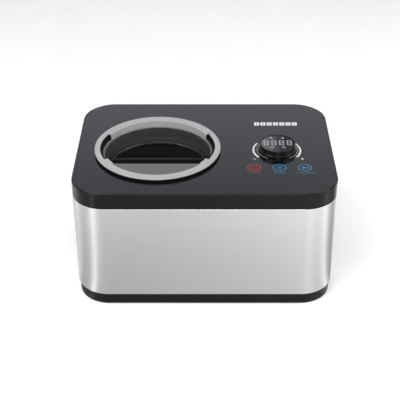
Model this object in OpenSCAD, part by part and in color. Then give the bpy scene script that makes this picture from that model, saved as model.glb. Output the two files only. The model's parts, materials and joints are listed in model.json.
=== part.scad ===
// Countertop ice cream maker with its own compressor. The lidded bowl stands at the left,
// the dial and display at the right. The origin is the centre of the floor outline:
// +X right, +Y to the back, +Z up.

/* [Cabinet] */
// Width of the cabinet
body_w = 385; // [380:1:480]
// Depth of the cabinet, front to back
body_d = 277; // [264:1:340]
// Radius of the cabinet's upright corners
corner_r = 49; // [30:1:60]
// Gap under the base tray, shown by the feet
foot_gap = 2; // [1:0.5:4]
// Height of the black base tray
base_h = 17.4; // [15:0.1:24]
// How far the base tray stands inside the steel
base_inset = 1.85; // [0.5:0.05:3]
// Height of the steel wrap
steel_h = 151.8; // [150:0.1:190]
// Thickness of the steel sheet
steel_t = 0.8; // [0.5:0.1:1.5]
// Width of the turned-in hems of the steel wrap
hem_w = 5; // [4:0.5:6]
// Height of the black band under the top panel
band_h = 24.8; // [22:0.1:32]
// Wall of the moulded cases
case_t = 2.5; // [2:0.1:3.5]
// Thickness of the gloss top panel
panel_t = 3; // [2:0.5:5]
// Width of the frame's rim round the panel
rim_w = 1.2; // [0.8:0.1:2]

/* [Bowl] */
// From the cabinet's left side to the bowl's axis
bowl_from_left = 121.5; // [118:0.5:150]
// The bowl's axis ahead of the cabinet's middle
bowl_ahead = 11; // [0:0.5:25]
// Outside radius of the removable bowl
bowl_r = 77.8; // [60:0.1:80]
// Wall of the bowl
bowl_t = 1.6; // [1:0.1:2.5]
// Depth of the bowl below its rim
bowl_depth = 92; // [80:0.5:94]
// Height of the bowl's rolled rim
rim_h = 2.2; // [1.5:0.1:3]
// Gap between the bowl and the cooling drum
bowl_gap = 0.6; // [0.4:0.1:1.2]
// Radius of the drive shaft
shaft_r = 5; // [4:0.1:6]
// Radius of the wire of the bowl's bail
bail_wire_r = 1.5; // [1:0.1:2]
// Radius of the bail's grip
grip_r = 3.2; // [2.5:0.1:4]

/* [Cooling] */
// Height of the brushed collar above the drum
collar_h = 30.5; // [24:0.5:36]
// Wall of the collar
collar_t = 3.2; // [2:0.1:4]
// Wall of the cooling drum
drum_t = 1.4; // [1:0.1:2.5]
// Radius of the evaporator tube
coil_tube_r = 3.6; // [3:0.1:4]
// Turns of the evaporator tube
coil_turns = 7; // [4:1:8]
// Thickness of the foam round the coil
foam_t = 12; // [8:1:14]
// Thickness of the foam under the drum
foam_floor = 13; // [10:1:16]
// Radius of the compressor shell
comp_r = 46; // [40:1:48]
// Height of the compressor shell
comp_h = 108; // [90:1:112]
// Radius of the cooling fan's blades
fan_r = 42; // [34:1:46]

/* [Lid] */
// Outside radius of the lid ring
lid_r = 94.8; // [90:0.1:100]
// How far the lid stands above the panel
lid_rise = 5.9; // [5:0.1:9]
// Thickness of the lid ring at its edge
lid_edge = 2.3; // [1.5:0.1:3]
// Wall of the lid's skirt
skirt_t = 1.7; // [1.2:0.1:2]
// How far the finger notches reach outside the skirt
notch_depth = 6; // [4.5:0.5:7]
// Half the angle of each finger notch
notch_half = 27; // [15:1:32]
// From the lid's centre to the front plate's straight edge
plate_edge = 50; // [30:1:60]
// Play between the lid and the hole it drops into
lid_play = 0.5; // [0.3:0.1:1]

/* [Dial] */
// From the cabinet's right side to the dial's axis
dial_from_right = 83; // [80:0.5:95]
// Radius of the dial at its foot
dial_r = 28.8; // [27.5:0.1:32]
// How much the dial narrows to its top
dial_taper = 1.8; // [0:0.1:2.5]
// Height of the dial above the panel
dial_h = 11.2; // [10:0.1:14]
// Wall of the dial at its top
dial_t = 1.5; // [1:0.1:2]
// Distance between neighbouring touch keys
key_pitch = 37.3; // [30:0.1:40]
// From the dial's axis forward to the touch keys
key_ahead = 53.5; // [45:0.5:60]

/* [Gears] */
// Module of the drive gears
gear_m = 1.25; // [1:0.05:1.3]
// Teeth of the output gear
out_teeth = 56; // [48:1:56]
// Teeth of the large idler gear
idler_teeth = 60; // [48:6:60]
// Teeth of both drive pinions
pinion_teeth = 15; // [13:2:17]
// Module of the dial's gears
dial_m = 1; // [0.9:0.05:1.1]
// Teeth of the dial's gear
dial_teeth = 54; // [52:1:60]
// Teeth of the encoder's pinion
encoder_teeth = 16; // [12:2:20]

/* [Hidden] */

$fn = 96;
eps = 0.01;
fit_gap = 0.05;

// Levels, from the floor up to the lid and back down through the bowl
base_z = foot_gap;
floor_top = base_z + case_t;
steel_z = base_z + base_h;
band_z = steel_z + steel_h;
top_z = band_z + band_h;
deck_top = top_z - panel_t;
deck_z = deck_top - case_t;
drum_top = deck_z - collar_h;
bowl_floor = drum_top - bowl_depth;
drum_floor = bowl_floor - bowl_gap;
foam_z = drum_floor - drum_t - foam_floor;
gear_h = 6;
gear_gap = 1.5;
box_h = 2 * gear_h + 2 * gear_gap + 2;
cover_z = foam_z - 3;
box_z = cover_z - box_h;
box_floor_z = box_z - case_t;
low_gear_z = box_z + gear_gap;
high_gear_z = low_gear_z + gear_h + gear_gap;
motor_h = 24;
motor_z = box_floor_z - motor_h;

// Axes seen from above
bowl_x = bowl_from_left - body_w / 2;
bowl_y = -bowl_ahead;
dial_x = body_w / 2 - dial_from_right;
dial_y = bowl_y;
out_r = gear_m * out_teeth / 2;
idler_r = gear_m * idler_teeth / 2;
pinion_r = gear_m * pinion_teeth / 2;
motor_side = 125;
idler_x = bowl_x + out_r + pinion_r;
motor_x = idler_x + (idler_r + pinion_r) * cos(motor_side);
motor_y = bowl_y + (idler_r + pinion_r) * sin(motor_side);
encoder_gap = dial_m * (dial_teeth + encoder_teeth) / 2;
encoder_x = dial_x + encoder_gap;

// Radii round the bowl's axis
drum_r = bowl_r + bowl_gap;
rim_r = drum_r + 1.1;
collar_r = rim_r + 0.5;
well_r = collar_r + 0.5;
lid_hole_r = well_r + 2 * skirt_t + lid_play + 0.1;
notch_r = well_r + notch_depth;
plate_r = well_r + 2.6;
coil_r = drum_r + drum_t + coil_tube_r + 0.8;
foam_in_r = coil_r + coil_tube_r + 0.4;
foam_r = foam_in_r + foam_t;
bail_z = drum_top + rim_h + grip_r + 0.2;
bail_r = bowl_r - bowl_t - 1.2;

// Places tied to the right wall
right_in = body_w / 2 - steel_t;
cond_t = 24;
cond_w = 104;
cond_h = 104;
cond_x = right_in - 8 - cond_t;
cond_z = floor_top + 24;
vent_y = 5;
fan_z = cond_z + cond_h / 2;
fan_t = 14;
fan_x = cond_x - 4 - fan_t;
comp_x = fan_x - 11 - comp_r - 1;
comp_y = 44;
comp_z = floor_top + 18;
post_r = 6;
// Each corner post stands this far in from its corner's arc, on the diagonal
post_inset = 16.473;
post_in = corner_r - (corner_r - post_inset) * cos(45);

// Dial and board levels
dial_hole_r = dial_m * (dial_teeth - 2.4) / 2 - 1.4;
neck_out_r = dial_hole_r - 0.5;
neck_in_r = neck_out_r - 2;
dial_gear_z = deck_z - 6;
dial_gear_h = 4;
board_t = 1.6;
board_top = dial_gear_z - 7;
board_z = board_top - board_t;
lens_r = dial_r - dial_taper - dial_t - 0.3;
cup_z = top_z + 3.4;

// ---------- Shared shapes ----------

// A flat plate with rounded upright corners
module rounded_plate(w, d, r, h) {
  linear_extrude(h) {
    square([w - 2 * r, d], center = true);
    square([w, d - 2 * r], center = true);
    for (x = [-1, 1], y = [-1, 1])
      translate([x * (w / 2 - r), y * (d / 2 - r)]) circle(r);
  }
}

// The body's outline, drawn in by a distance
module outline(inset, h) {
  rounded_plate(body_w - 2 * inset, body_d - 2 * inset, corner_r - inset, h);
}

// A closed wall that follows the body's outline
module outline_wall(inset, wall, h) {
  difference() {
    outline(inset, h);
    translate([0, 0, -eps]) outline(inset + wall, h + 2 * eps);
  }
}

module tube(r_out, r_in, h) {
  difference() {
    cylinder(r = r_out, h = h);
    translate([0, 0, -eps]) cylinder(r = r_in, h = h + 2 * eps);
  }
}

module at_bowl(z = 0) {
  translate([bowl_x, bowl_y, z]) children();
}

module at_dial(z = 0) {
  translate([dial_x, dial_y, z]) children();
}

module at_corners(inset_x, inset_y, z = 0) {
  for (x = [-1, 1], y = [-1, 1])
    translate([x * (body_w / 2 - inset_x), y * (body_d / 2 - inset_y), z]) children();
}

// A round-headed screw standing on its head
module screw(r, length, head_r, head_h) {
  cylinder(r = head_r, h = head_h);
  cylinder(r = r, h = length);
}

// A straight rod between two points
module rod(a, b, r) {
  run = b - a;
  flat = norm([run[0], run[1]]);
  translate(a) rotate([0, atan2(flat, run[2]), atan2(run[1], run[0])])
    cylinder(r = r, h = norm(run), $fn = 24);
}

function unit(v) = v / norm(v);

// A tube along a path of square corners, with a smooth bend at each corner
module bent_tube(path, r, bend) {
  last = len(path) - 1;
  dirs = [for (i = [0 : last - 1]) unit(path[i + 1] - path[i])];
  for (i = [0 : last - 1])
    rod(path[i] + dirs[i] * (i == 0 ? 0 : bend),
      path[i + 1] - dirs[i] * (i == last - 1 ? 0 : bend), r);
  for (i = [1 : last - 1]) {
    along = dirs[i - 1];
    inward = dirs[i];
    axis = cross(along, inward);
    centre = path[i] + (inward - along) * bend;
    multmatrix([for (k = [0 : 2]) [-inward[k], along[k], axis[k], centre[k]]])
      rotate_extrude(angle = 90) translate([bend, 0]) circle(r, $fn = 24);
  }
}

// A round wire wound along a helix
module helix_wire(radius, wire_r, height, turns, steps, sides) {
  count = turns * steps;
  rings = [for (i = [0 : count]) let (a = 360 * i / steps, z = height * i / count)
    for (k = [0 : sides - 1]) let (b = 360 * k / sides)
      [(radius + wire_r * cos(b)) * cos(a), (radius + wire_r * cos(b)) * sin(a),
       z + wire_r * sin(b)]];
  walls = [for (i = [0 : count - 1], k = [0 : sides - 1]) let (n = (k + 1) % sides)
    [i * sides + k, (i + 1) * sides + k, (i + 1) * sides + n, i * sides + n]];
  first = [for (k = [0 : sides - 1]) k];
  last = [for (k = [sides - 1 : -1 : 0]) count * sides + k];
  polyhedron(points = rings, faces = concat(walls, [first], [last]), convexity = 10);
}

// ---------- Gears ----------

pressure = 20;
addendum = 0.8;
dedendum = 1.1;
backlash = 0.14;
deg = 180 / PI;

function inv_angle(rb, r) = let (a = acos(min(1, rb / r))) tan(a) * deg - a;

// Half a tooth's angle at radius r, for a gear with n teeth and pitch radius rp
function half_tooth(n, rp, r) =
  let (rb = rp * cos(pressure), rr = max(rb, r))
  90 / n - backlash / 2 / rp * deg + inv_angle(rb, rp) - inv_angle(rb, rr);

function polar(r, a) = [r * cos(a), r * sin(a)];

module gear_blank(m, n, h) {
  rp = m * n / 2;
  radii = [rp - dedendum * m, rp - 0.35 * m, rp + 0.25 * m, rp + addendum * m];
  points = [for (i = [0 : n - 1]) let (c = 360 * i / n)
    each concat([for (r = radii) polar(r, c - half_tooth(n, rp, r))],
      [for (k = [3 : -1 : 0]) polar(radii[k], c + half_tooth(n, rp, radii[k]))])];
  linear_extrude(h) polygon(points);
}

module gear(m, n, h, bore) {
  difference() {
    gear_blank(m, n, h);
    translate([0, 0, -eps]) cylinder(r = bore, h = h + 2 * eps);
  }
}

// ---------- Base, case and top ----------

foot_r = 9.6;
foot_in = 40;
foot_h = foot_gap + 3;
boss_h = 9;
screw_r = 1.6;
lip_inset = steel_t + hem_w + 1.2;
comp_plate_w = 112;
comp_plate_d = 96;
comp_hole_x = comp_plate_w / 2 - 10;
comp_hole_y = comp_plate_d / 2 - 10;
grommet_h = 10;

module at_comp_holes(z = 0) {
  for (x = [-1, 1], y = [-1, 1])
    translate([comp_x + x * comp_hole_x, comp_y + y * comp_hole_y, z]) children();
}

// Ears of the gearbox, outside its wall
ear_r = 6;
ears = [[bowl_x - out_r - 14, bowl_y], [bowl_x - 8, bowl_y - out_r - 13],
  [idler_x + 8, bowl_y - idler_r - 11], [idler_x + idler_r + 10, bowl_y + 14]];

module at_ears(z = 0) {
  for (p = ears) translate([p[0], p[1], z]) children();
}

// A web from an ear to the gearbox's wall
module ear_web(i) {
  root = [[bowl_x, bowl_y], [bowl_x, bowl_y], [idler_x, bowl_y], [idler_x, bowl_y]][i];
  run = root - ears[i];
  translate([ears[i][0], ears[i][1], box_floor_z]) rotate(atan2(run[1], run[0]))
    translate([0, -3, 0]) cube([norm(run) / 2, 6, case_t]);
}

module base_tray() {
  color([0.07, 0.07, 0.075]) difference() {
    union() {
      translate([0, 0, base_z]) difference() {
        outline(base_inset, base_h);
        translate([0, 0, case_t]) outline(base_inset + case_t, base_h - 2 * case_t);
        translate([0, 0, base_h - case_t - eps])
          outline(lip_inset + case_t, case_t + 2 * eps);
      }
      translate([0, 0, steel_z - eps]) outline_wall(lip_inset, case_t - 0.5, 3.6);
      at_corners(foot_in, foot_in, base_z + eps) cylinder(r = foot_r + 2.4, h = 5);
      at_corners(foot_in, foot_in, base_z + eps) cylinder(r = 4.5, h = 3 + boss_h);
      at_corners(post_in, post_in, floor_top - eps) cylinder(r = post_r, h = 10);
      at_ears(floor_top - eps) cylinder(r = ear_r, h = box_floor_z - floor_top + eps);
      at_comp_holes(floor_top - eps) cylinder(r = 7, h = 6);
      for (x = [0, 1]) translate([board_x + 6 + x * (power_w - 22), power_y - 4, floor_top - eps])
        cube([10, 9, board_stand]);
      for (i = [-1, 1]) translate([cond_x, vent_y + i * (cond_w / 2 - 8) - 4, floor_top - eps])
        cube([cond_t, 8, cond_z - floor_top + eps]);
      for (i = [-1, 1]) translate([fan_x, vent_y + i * 34 - 4, floor_top - eps])
        cube([fan_t, 8, fan_z - fan_r - 6 - floor_top + eps]);
    }
    at_corners(foot_in, foot_in, base_z - eps) cylinder(r = foot_r + 0.2, h = 3 + eps);
    at_corners(foot_in, foot_in, base_z) cylinder(r = screw_r + fit_gap, h = boss_h);
    at_corners(post_in, post_in, base_z - eps) cylinder(r = 3.6, h = 5);
    at_corners(post_in, post_in, base_z) cylinder(r = screw_r + fit_gap, h = 20);
    at_ears(box_floor_z - 10) cylinder(r = screw_r + fit_gap, h = 10 + eps);
    at_comp_holes(floor_top + 0.5) cylinder(r = 2.5 + fit_gap, h = 8);
    for (x = [0, 1]) translate([board_x + 5 + x * (power_w - 22), power_y - fit_gap,
      floor_top + board_stand - 4]) cube([12, board_t + 2 * fit_gap, 5]);
    for (i = [-6 : 6]) translate([vent_slot_x + i * 9, vent_y - 30, base_z - eps])
      cube([3.4, 60, case_t + 2 * eps]);
  }
}
vent_slot_x = body_w / 2 - 108;

module rubber_feet() {
  color([0.12, 0.12, 0.12]) at_corners(foot_in, foot_in) difference() {
    cylinder(r = foot_r, h = foot_h);
    translate([0, 0, -eps]) cylinder(r = 4, h = foot_h - 1.5 + eps);
    cylinder(r = screw_r + fit_gap, h = foot_h + eps);
  }
}

module foot_screws() {
  color([0.7, 0.7, 0.72]) at_corners(foot_in, foot_in, 1.6)
    screw(screw_r, base_z + boss_h - 2.2, 3.4, foot_h - 1.5 - 1.6);
}

post_z = floor_top + 10;

module case_screws() {
  color([0.7, 0.7, 0.72]) at_corners(post_in, post_in, base_z + 2)
    screw(screw_r, 24, 3.3, 2.9);
}

module corner_posts() {
  color([0.16, 0.16, 0.17]) at_corners(post_in, post_in, post_z) difference() {
    cylinder(r = post_r, h = deck_z - post_z);
    translate([0, 0, -eps]) cylinder(r = screw_r + fit_gap, h = 20);
  }
}

inlet_w = 48;
inlet_h = 28;
inlet_x = body_w / 2 - corner_r - 40;
inlet_z = floor_top + 40;
inlet_depth = 24;
grille_w = 116;
grille_h = 96;
grille_z = fan_z - grille_h / 2;
window_gap = 0.3;

module wall_window(side) {
  translate([side * (body_w / 2 - 2), vent_y - grille_w / 2, grille_z])
    translate([-4, 0, 0]) cube([8, grille_w, grille_h]);
}

module steel_wrap() {
  color([0.75, 0.76, 0.77]) difference() {
    union() {
      translate([0, 0, steel_z]) outline_wall(0, steel_t, steel_h);
      for (z = [steel_z, band_z - steel_t])
        translate([0, 0, z]) outline_wall(steel_t - eps, hem_w, steel_t);
    }
    wall_window(-1);
    wall_window(1);
    translate([inlet_x - inlet_w / 2, body_d / 2 - 4, inlet_z - inlet_h / 2])
      cube([inlet_w, 8, inlet_h]);
  }
}

board_w = 112;
board_d = 112;
board_mid_x = dial_x + 6;
board_mid_y = dial_y - key_ahead / 2 + 2;
board_hole = 6;

module at_board_holes(z = 0) {
  for (x = [-1, 1], y = [-1, 1])
    translate([board_mid_x + x * (board_w / 2 - board_hole),
      board_mid_y + y * (board_d / 2 - board_hole), z]) children();
}

module at_keys(z = 0) {
  for (i = [-1 : 1]) translate([dial_x + i * key_pitch, dial_y - key_ahead, z]) children();
}

key_spring_r = 5;

module top_frame() {
  color([0.08, 0.08, 0.085]) difference() {
    union() {
      translate([0, 0, band_z]) outline_wall(0, case_t, band_h);
      translate([0, 0, band_z]) outline_wall(case_t - eps, lip_inset, case_t);
      translate([0, 0, band_z - 3.6]) outline_wall(lip_inset, case_t - 0.5, 3.6 + eps);
      translate([0, 0, deck_z]) outline(case_t - eps, case_t);
      at_board_holes(board_top) cylinder(r = 3.6, h = deck_z - board_top + eps);
    }
    translate([0, 0, deck_top]) outline(rim_w, panel_t + eps);
    at_bowl(deck_z - eps) cylinder(r = lid_hole_r, h = case_t + 2 * eps);
    at_dial(deck_z - eps) cylinder(r = dial_hole_r, h = case_t + 2 * eps);
    at_keys(deck_z - eps) cylinder(r = key_spring_r + 1, h = case_t + 2 * eps);
    at_board_holes(board_top - eps) cylinder(r = screw_r + fit_gap, h = 9);
  }
}

module top_panel() {
  color([0.24, 0.25, 0.27]) translate([0, 0, deck_top]) difference() {
    outline(rim_w + 0.3, panel_t);
    at_bowl(-eps) cylinder(r = lid_hole_r, h = panel_t + 2 * eps);
    at_dial(-eps) cylinder(r = dial_hole_r, h = panel_t + 2 * eps);
  }
}

// A louvred grille flush with a side wall
module grille(side) {
  slat_gap = 3.4;
  slat_pitch = 7;
  rows = floor((grille_h - 12) / slat_pitch);
  depth = 5;
  x = side > 0 ? body_w / 2 - depth - 0.1 : -body_w / 2 + 0.1;
  color([0.1, 0.1, 0.105])
    translate([x, vent_y - grille_w / 2 + window_gap, grille_z + window_gap]) difference() {
      cube([depth, grille_w - 2 * window_gap, grille_h - 2 * window_gap]);
      for (i = [0 : rows - 1], k = [0, 1])
        translate([-eps, 6 + k * (grille_w / 2 - 2), 6 + i * slat_pitch])
          cube([depth + 2 * eps, grille_w / 2 - 10, slat_gap]);
    }
}

module right_grille() { grille(1); }

module left_grille() { grille(-1); }

socket_w = 24.4;
socket_h = 16.8;
socket_depth = 17;

module power_inlet() {
  color([0.09, 0.09, 0.09]) translate([inlet_x, body_d / 2 - 0.1 - inlet_depth, inlet_z])
    difference() {
      translate([window_gap - inlet_w / 2, 0, window_gap - inlet_h / 2])
        cube([inlet_w - 2 * window_gap, inlet_depth, inlet_h - 2 * window_gap]);
      translate([-socket_w / 2, inlet_depth - socket_depth, -socket_h / 2])
        cube([socket_w, socket_depth + eps, socket_h]);
      for (p = pin_places) translate([p[0], -eps, p[1]])
        translate([-1 - fit_gap, 0, -2 - fit_gap])
          cube([2 + 2 * fit_gap, inlet_depth, 4 + 2 * fit_gap]);
    }
}
pin_places = [[-7, -2], [0, 2.5], [7, -2]];

module inlet_pins() {
  color([0.75, 0.72, 0.6]) for (p = pin_places)
    translate([inlet_x + p[0] - 1, body_d / 2 - inlet_depth - 6, inlet_z + p[1] - 2])
      cube([2, 6 + inlet_depth - socket_depth + 9, 4]);
}

// ---------- Cooling chamber ----------

seal_r = 9;

module cooling_drum() {
  color([0.72, 0.73, 0.75]) at_bowl() difference() {
    union() {
      translate([0, 0, drum_floor - drum_t])
        cylinder(r = drum_r + drum_t, h = drum_top - drum_floor + drum_t);
      translate([0, 0, drum_top - 1.5]) cylinder(r = collar_r + collar_t + 6, h = 1.5);
    }
    translate([0, 0, drum_floor]) cylinder(r = drum_r, h = drum_top - drum_floor + eps);
    translate([0, 0, drum_floor - drum_t - eps]) cylinder(r = seal_r, h = drum_t + 2 * eps);
  }
}

module chamber_collar() {
  color([0.7, 0.7, 0.71]) at_bowl(drum_top) {
    tube(collar_r + collar_t, collar_r, collar_h);
    translate([0, 0, collar_h - 2]) tube(collar_r + collar_t + 8, collar_r + collar_t - eps, 2);
  }
}

coil_z = drum_floor + 6;
coil_span = drum_top - 12 - coil_z;

module evaporator_coil() {
  color([0.72, 0.45, 0.3]) at_bowl(coil_z)
    helix_wire(coil_r, coil_tube_r, coil_span, coil_turns, 28, 8);
}

module foam_jacket() {
  color([0.85, 0.8, 0.6]) at_bowl(foam_z) difference() {
    cylinder(r = foam_r, h = drum_top - 4 - foam_z);
    translate([0, 0, foam_floor]) cylinder(r = foam_in_r, h = drum_top - foam_z);
    translate([0, 0, -eps]) cylinder(r = seal_r + 2, h = foam_floor + 2 * eps);
    translate([foam_in_r - 1, -4, coil_span + foam_floor - 2]) cube([foam_t + 3, 8, 20]);
    translate([foam_in_r - 1, -4, foam_floor + 1]) cube([foam_t + 3, 8, 12]);
  }
}

// ---------- Drive ----------

// The gearbox's inside outline, drawn out by a distance
module box_shape(grow) {
  translate([bowl_x, bowl_y]) circle(out_r + 3 + grow);
  translate([idler_x, bowl_y]) circle(idler_r + 3 + grow);
  translate([motor_x, motor_y]) circle(pinion_r + 5 + grow);
}

idler_pin_r = 3;
motor_shaft_r = 2.5;
bush_r = 9;

module gearbox_lower() {
  color([0.2, 0.2, 0.21]) difference() {
    union() {
      translate([0, 0, box_floor_z]) linear_extrude(box_h + case_t) box_shape(case_t);
      at_ears(box_floor_z) cylinder(r = ear_r, h = 6);
      for (i = [0 : 3]) ear_web(i);
    }
    translate([0, 0, box_z]) linear_extrude(box_h + eps) box_shape(0);
    at_ears(box_floor_z - eps) cylinder(r = screw_r + fit_gap, h = 6 + 2 * eps);
    translate([motor_x, motor_y, box_floor_z - eps])
      cylinder(r = motor_shaft_r + 1, h = case_t + 2 * eps);
    translate([idler_x, bowl_y, box_floor_z + 1])
      cylinder(r = idler_pin_r + fit_gap, h = case_t);
    at_bowl(box_floor_z - eps) cylinder(r = shaft_r - 1 + fit_gap, h = case_t + 2 * eps);
  }
}

module gearbox_cover() {
  color([0.24, 0.24, 0.25]) difference() {
    translate([0, 0, cover_z]) linear_extrude(foam_z - cover_z) box_shape(case_t);
    at_bowl(cover_z - eps) cylinder(r = bush_r + fit_gap, h = 4);
    translate([idler_x, bowl_y, cover_z - eps]) cylinder(r = idler_pin_r + fit_gap, h = 2);
  }
}

module gearbox_screws() {
  color([0.7, 0.7, 0.72]) at_ears(box_floor_z + 8.5) mirror([0, 0, 1])
    screw(screw_r, 16, 3.2, 2.5);
}

module idler_pin() {
  color([0.7, 0.7, 0.72]) translate([idler_x, bowl_y, box_floor_z + 1])
    cylinder(r = idler_pin_r, h = cover_z + 1.9 - box_floor_z - 1);
}

module shaft_bush() {
  color([0.75, 0.6, 0.3]) at_bowl(cover_z + 0.2)
    tube(bush_r, shaft_r + fit_gap, drum_floor - drum_t - 6 - cover_z - 0.2);
}

module shaft_seal() {
  color([0.5, 0.2, 0.16]) at_bowl(drum_floor - drum_t - 5.8)
    tube(seal_r - fit_gap, shaft_r + fit_gap, 5.8 + drum_t);
}

can_r = 30;

module motor_can() {
  color([0.62, 0.63, 0.65]) translate([motor_x, motor_y, motor_z]) difference() {
    cylinder(r = can_r, h = motor_h);
    translate([0, 0, 1.5]) cylinder(r = can_r - 1.5, h = motor_h - 3);
    translate([0, 0, motor_h - 2]) cylinder(r = motor_shaft_r + 1, h = 3);
  }
}

rotor_r = 15;

module motor_stator() {
  color([0.7, 0.42, 0.25]) translate([motor_x, motor_y, motor_z + 3]) difference() {
    cylinder(r = can_r - 1.5, h = motor_h - 6);
    translate([0, 0, -eps]) cylinder(r = rotor_r + 1, h = motor_h);
    for (i = [0 : 7]) rotate(45 * i) translate([rotor_r + 5, -1.5, -eps])
      cube([can_r - rotor_r - 9, 3, motor_h]);
  }
}

module motor_rotor() {
  color([0.5, 0.5, 0.52]) translate([motor_x, motor_y, 0]) {
    translate([0, 0, motor_z + 4]) cylinder(r = rotor_r, h = motor_h - 8);
    translate([0, 0, motor_z + 2.5])
      cylinder(r = motor_shaft_r, h = low_gear_z + gear_h + 1 - motor_z - 2.5);
    translate([0, 0, low_gear_z]) rotate(motor_side)
      gear(gear_m, pinion_teeth, gear_h - 1, motor_shaft_r - eps);
  }
}

module idler_gear() {
  low = low_gear_z + 0.2;
  high = high_gear_z + gear_h - 0.4;
  color([0.9, 0.88, 0.8]) translate([idler_x, bowl_y, 0]) difference() {
    union() {
      translate([0, 0, low]) rotate(motor_side) gear_blank(gear_m, idler_teeth, gear_h - 1.4);
      translate([0, 0, low + 1]) gear_blank(gear_m, pinion_teeth, high - low - 1);
    }
    translate([0, 0, low - 1]) cylinder(r = idler_pin_r + fit_gap, h = high - low + 2);
  }
}

module output_gear() {
  color([0.9, 0.88, 0.8]) at_bowl(high_gear_z + 0.4) gear(gear_m, out_teeth, gear_h - 1, shaft_r);
}

drive_sq = 6.6;
hub_top = bowl_floor + 38;
drive_top = hub_top + 24;

module drive_shaft() {
  color([0.72, 0.73, 0.75]) at_bowl() {
    translate([0, 0, box_floor_z + 0.5]) cylinder(r = shaft_r - 1, h = box_h);
    translate([0, 0, box_z + 1]) cylinder(r = shaft_r, h = hub_top - 2 - box_z - 1);
    translate([-drive_sq / 2, -drive_sq / 2, hub_top - 3])
      cube([drive_sq, drive_sq, drive_top - hub_top + 3]);
  }
}

// ---------- Bowl, bail and paddle ----------

hub_r = 9;
hub_bore = shaft_r + 1;
ear_x = bail_r + 1.9;

module bowl() {
  color([0.16, 0.16, 0.17]) at_bowl() difference() {
    union() {
      translate([0, 0, bowl_floor]) difference() {
        cylinder(r = bowl_r, h = bowl_depth + rim_h);
        translate([0, 0, 2]) cylinder(r = bowl_r - bowl_t, h = bowl_depth + rim_h);
      }
      translate([0, 0, drum_top + fit_gap]) tube(rim_r, bowl_r - bowl_t, rim_h - fit_gap);
      translate([0, 0, bowl_floor]) cylinder(r = hub_r, h = hub_top - bowl_floor);
      for (s = [-1, 1]) translate([s * ear_x + (s - 1) * 1, -4, drum_top + fit_gap])
        cube([2, 8, bail_z + 3 - drum_top]);
    }
    translate([0, 0, bowl_floor - eps]) cylinder(r = hub_bore, h = hub_top - bowl_floor + 2 * eps);
    translate([-bowl_r - 5, 0, bail_z]) rotate([0, 90, 0])
      cylinder(r = bail_wire_r + fit_gap, h = 2 * bowl_r + 10);
  }
}

module bowl_bail() {
  pivot_h = 3;
  color([0.6, 0.6, 0.62]) at_bowl(bail_z) {
    rotate_extrude(angle = 180) translate([bail_r, 0]) circle(bail_wire_r);
    for (x = [-bail_r - pivot_h, bail_r]) translate([x, 0, 0]) rotate([0, 90, 0])
      cylinder(r = bail_wire_r, h = pivot_h);
  }
}

module bail_grip() {
  color([0.12, 0.12, 0.12]) at_bowl(bail_z) rotate(70)
    rotate_extrude(angle = 40) translate([bail_r, 0]) difference() {
      circle(grip_r);
      circle(bail_wire_r + fit_gap);
    }
}

blade_t = 4;
blade_r = bowl_r - bowl_t - 2.6;
tall_r = bail_r - grip_r - 4;
paddle_z = bowl_floor + 4;
blade_top = drum_top - 5;
paddle_top = drum_top + 20;
paddle_hub_r = hub_r + 4;

module paddle() {
  color([0.13, 0.13, 0.14]) at_bowl() difference() {
    union() {
      translate([0, 0, paddle_z]) cylinder(r = paddle_hub_r, h = drive_top + 4 - paddle_z);
      translate([-blade_r, -blade_t / 2, paddle_z]) cube([2 * blade_r, blade_t, 9]);
      translate([-blade_r, -blade_t / 2, blade_top - 9]) cube([2 * blade_r, blade_t, 9]);
      for (s = [0, 1]) mirror([s, 0, 0]) {
        translate([blade_r - 8, -blade_t / 2, paddle_z]) cube([8, blade_t, blade_top - paddle_z]);
        translate([tall_r - 8, -blade_t / 2, blade_top - 9])
          cube([8, blade_t, paddle_top - blade_top + 9]);
        translate([blade_r * 0.55, -blade_t / 2, paddle_z])
          cube([6, blade_t, blade_top - paddle_z]);
      }
      translate([-tall_r, -blade_t / 2, paddle_top - 8]) cube([2 * tall_r, blade_t, 8]);
    }
    translate([0, 0, paddle_z - eps]) cylinder(r = hub_r + 0.5, h = hub_top + 0.6 - paddle_z);
    translate([-drive_sq / 2 - 0.1, -drive_sq / 2 - 0.1, hub_top])
      cube([drive_sq + 0.2, drive_sq + 0.2, drive_top + 0.5 - hub_top]);
  }
}

// ---------- Lid ----------

lid_gap = 0.1;
lid_top = top_z + lid_rise;
ring_z = lid_top - lid_edge;
skirt_z = deck_z + 0.6;
seal_h = 1.6;

// A wedge of a ring between two radii, centred on an angle
module ring_sector(r_in, r_out, z, h, half, middle) {
  translate([0, 0, z]) rotate(middle - half) rotate_extrude(angle = 2 * half)
    translate([r_in, 0]) square([r_out - r_in, h]);
}

// The part of a disc in front of the plate's straight edge
module front_segment(r, z, h, edge) {
  translate([0, 0, z]) intersection() {
    cylinder(r = r, h = h);
    translate([-r, -r - 1, 0]) cube([2 * r, r + 1 - edge, h]);
  }
}

module lid_ring() {
  round_r = lid_edge * 0.45;
  color([0.7, 0.71, 0.73]) at_bowl() difference() {
    union() {
      rotate_extrude() {
        translate([well_r, ring_z]) square([lid_r - round_r - well_r, lid_edge]);
        translate([well_r, ring_z]) square([lid_r - well_r, lid_edge - round_r]);
        translate([lid_r - round_r, lid_top - round_r]) circle(round_r);
      }
      translate([0, 0, skirt_z]) tube(well_r + skirt_t, well_r, ring_z - skirt_z + eps);
    }
    for (a = [0, 180])
      ring_sector(well_r - 1, notch_r, skirt_z - 1, lid_top - skirt_z + 2, notch_half, a);
    front_segment(plate_r, lid_top - 2.4, 3, plate_edge);
  }
}

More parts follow.
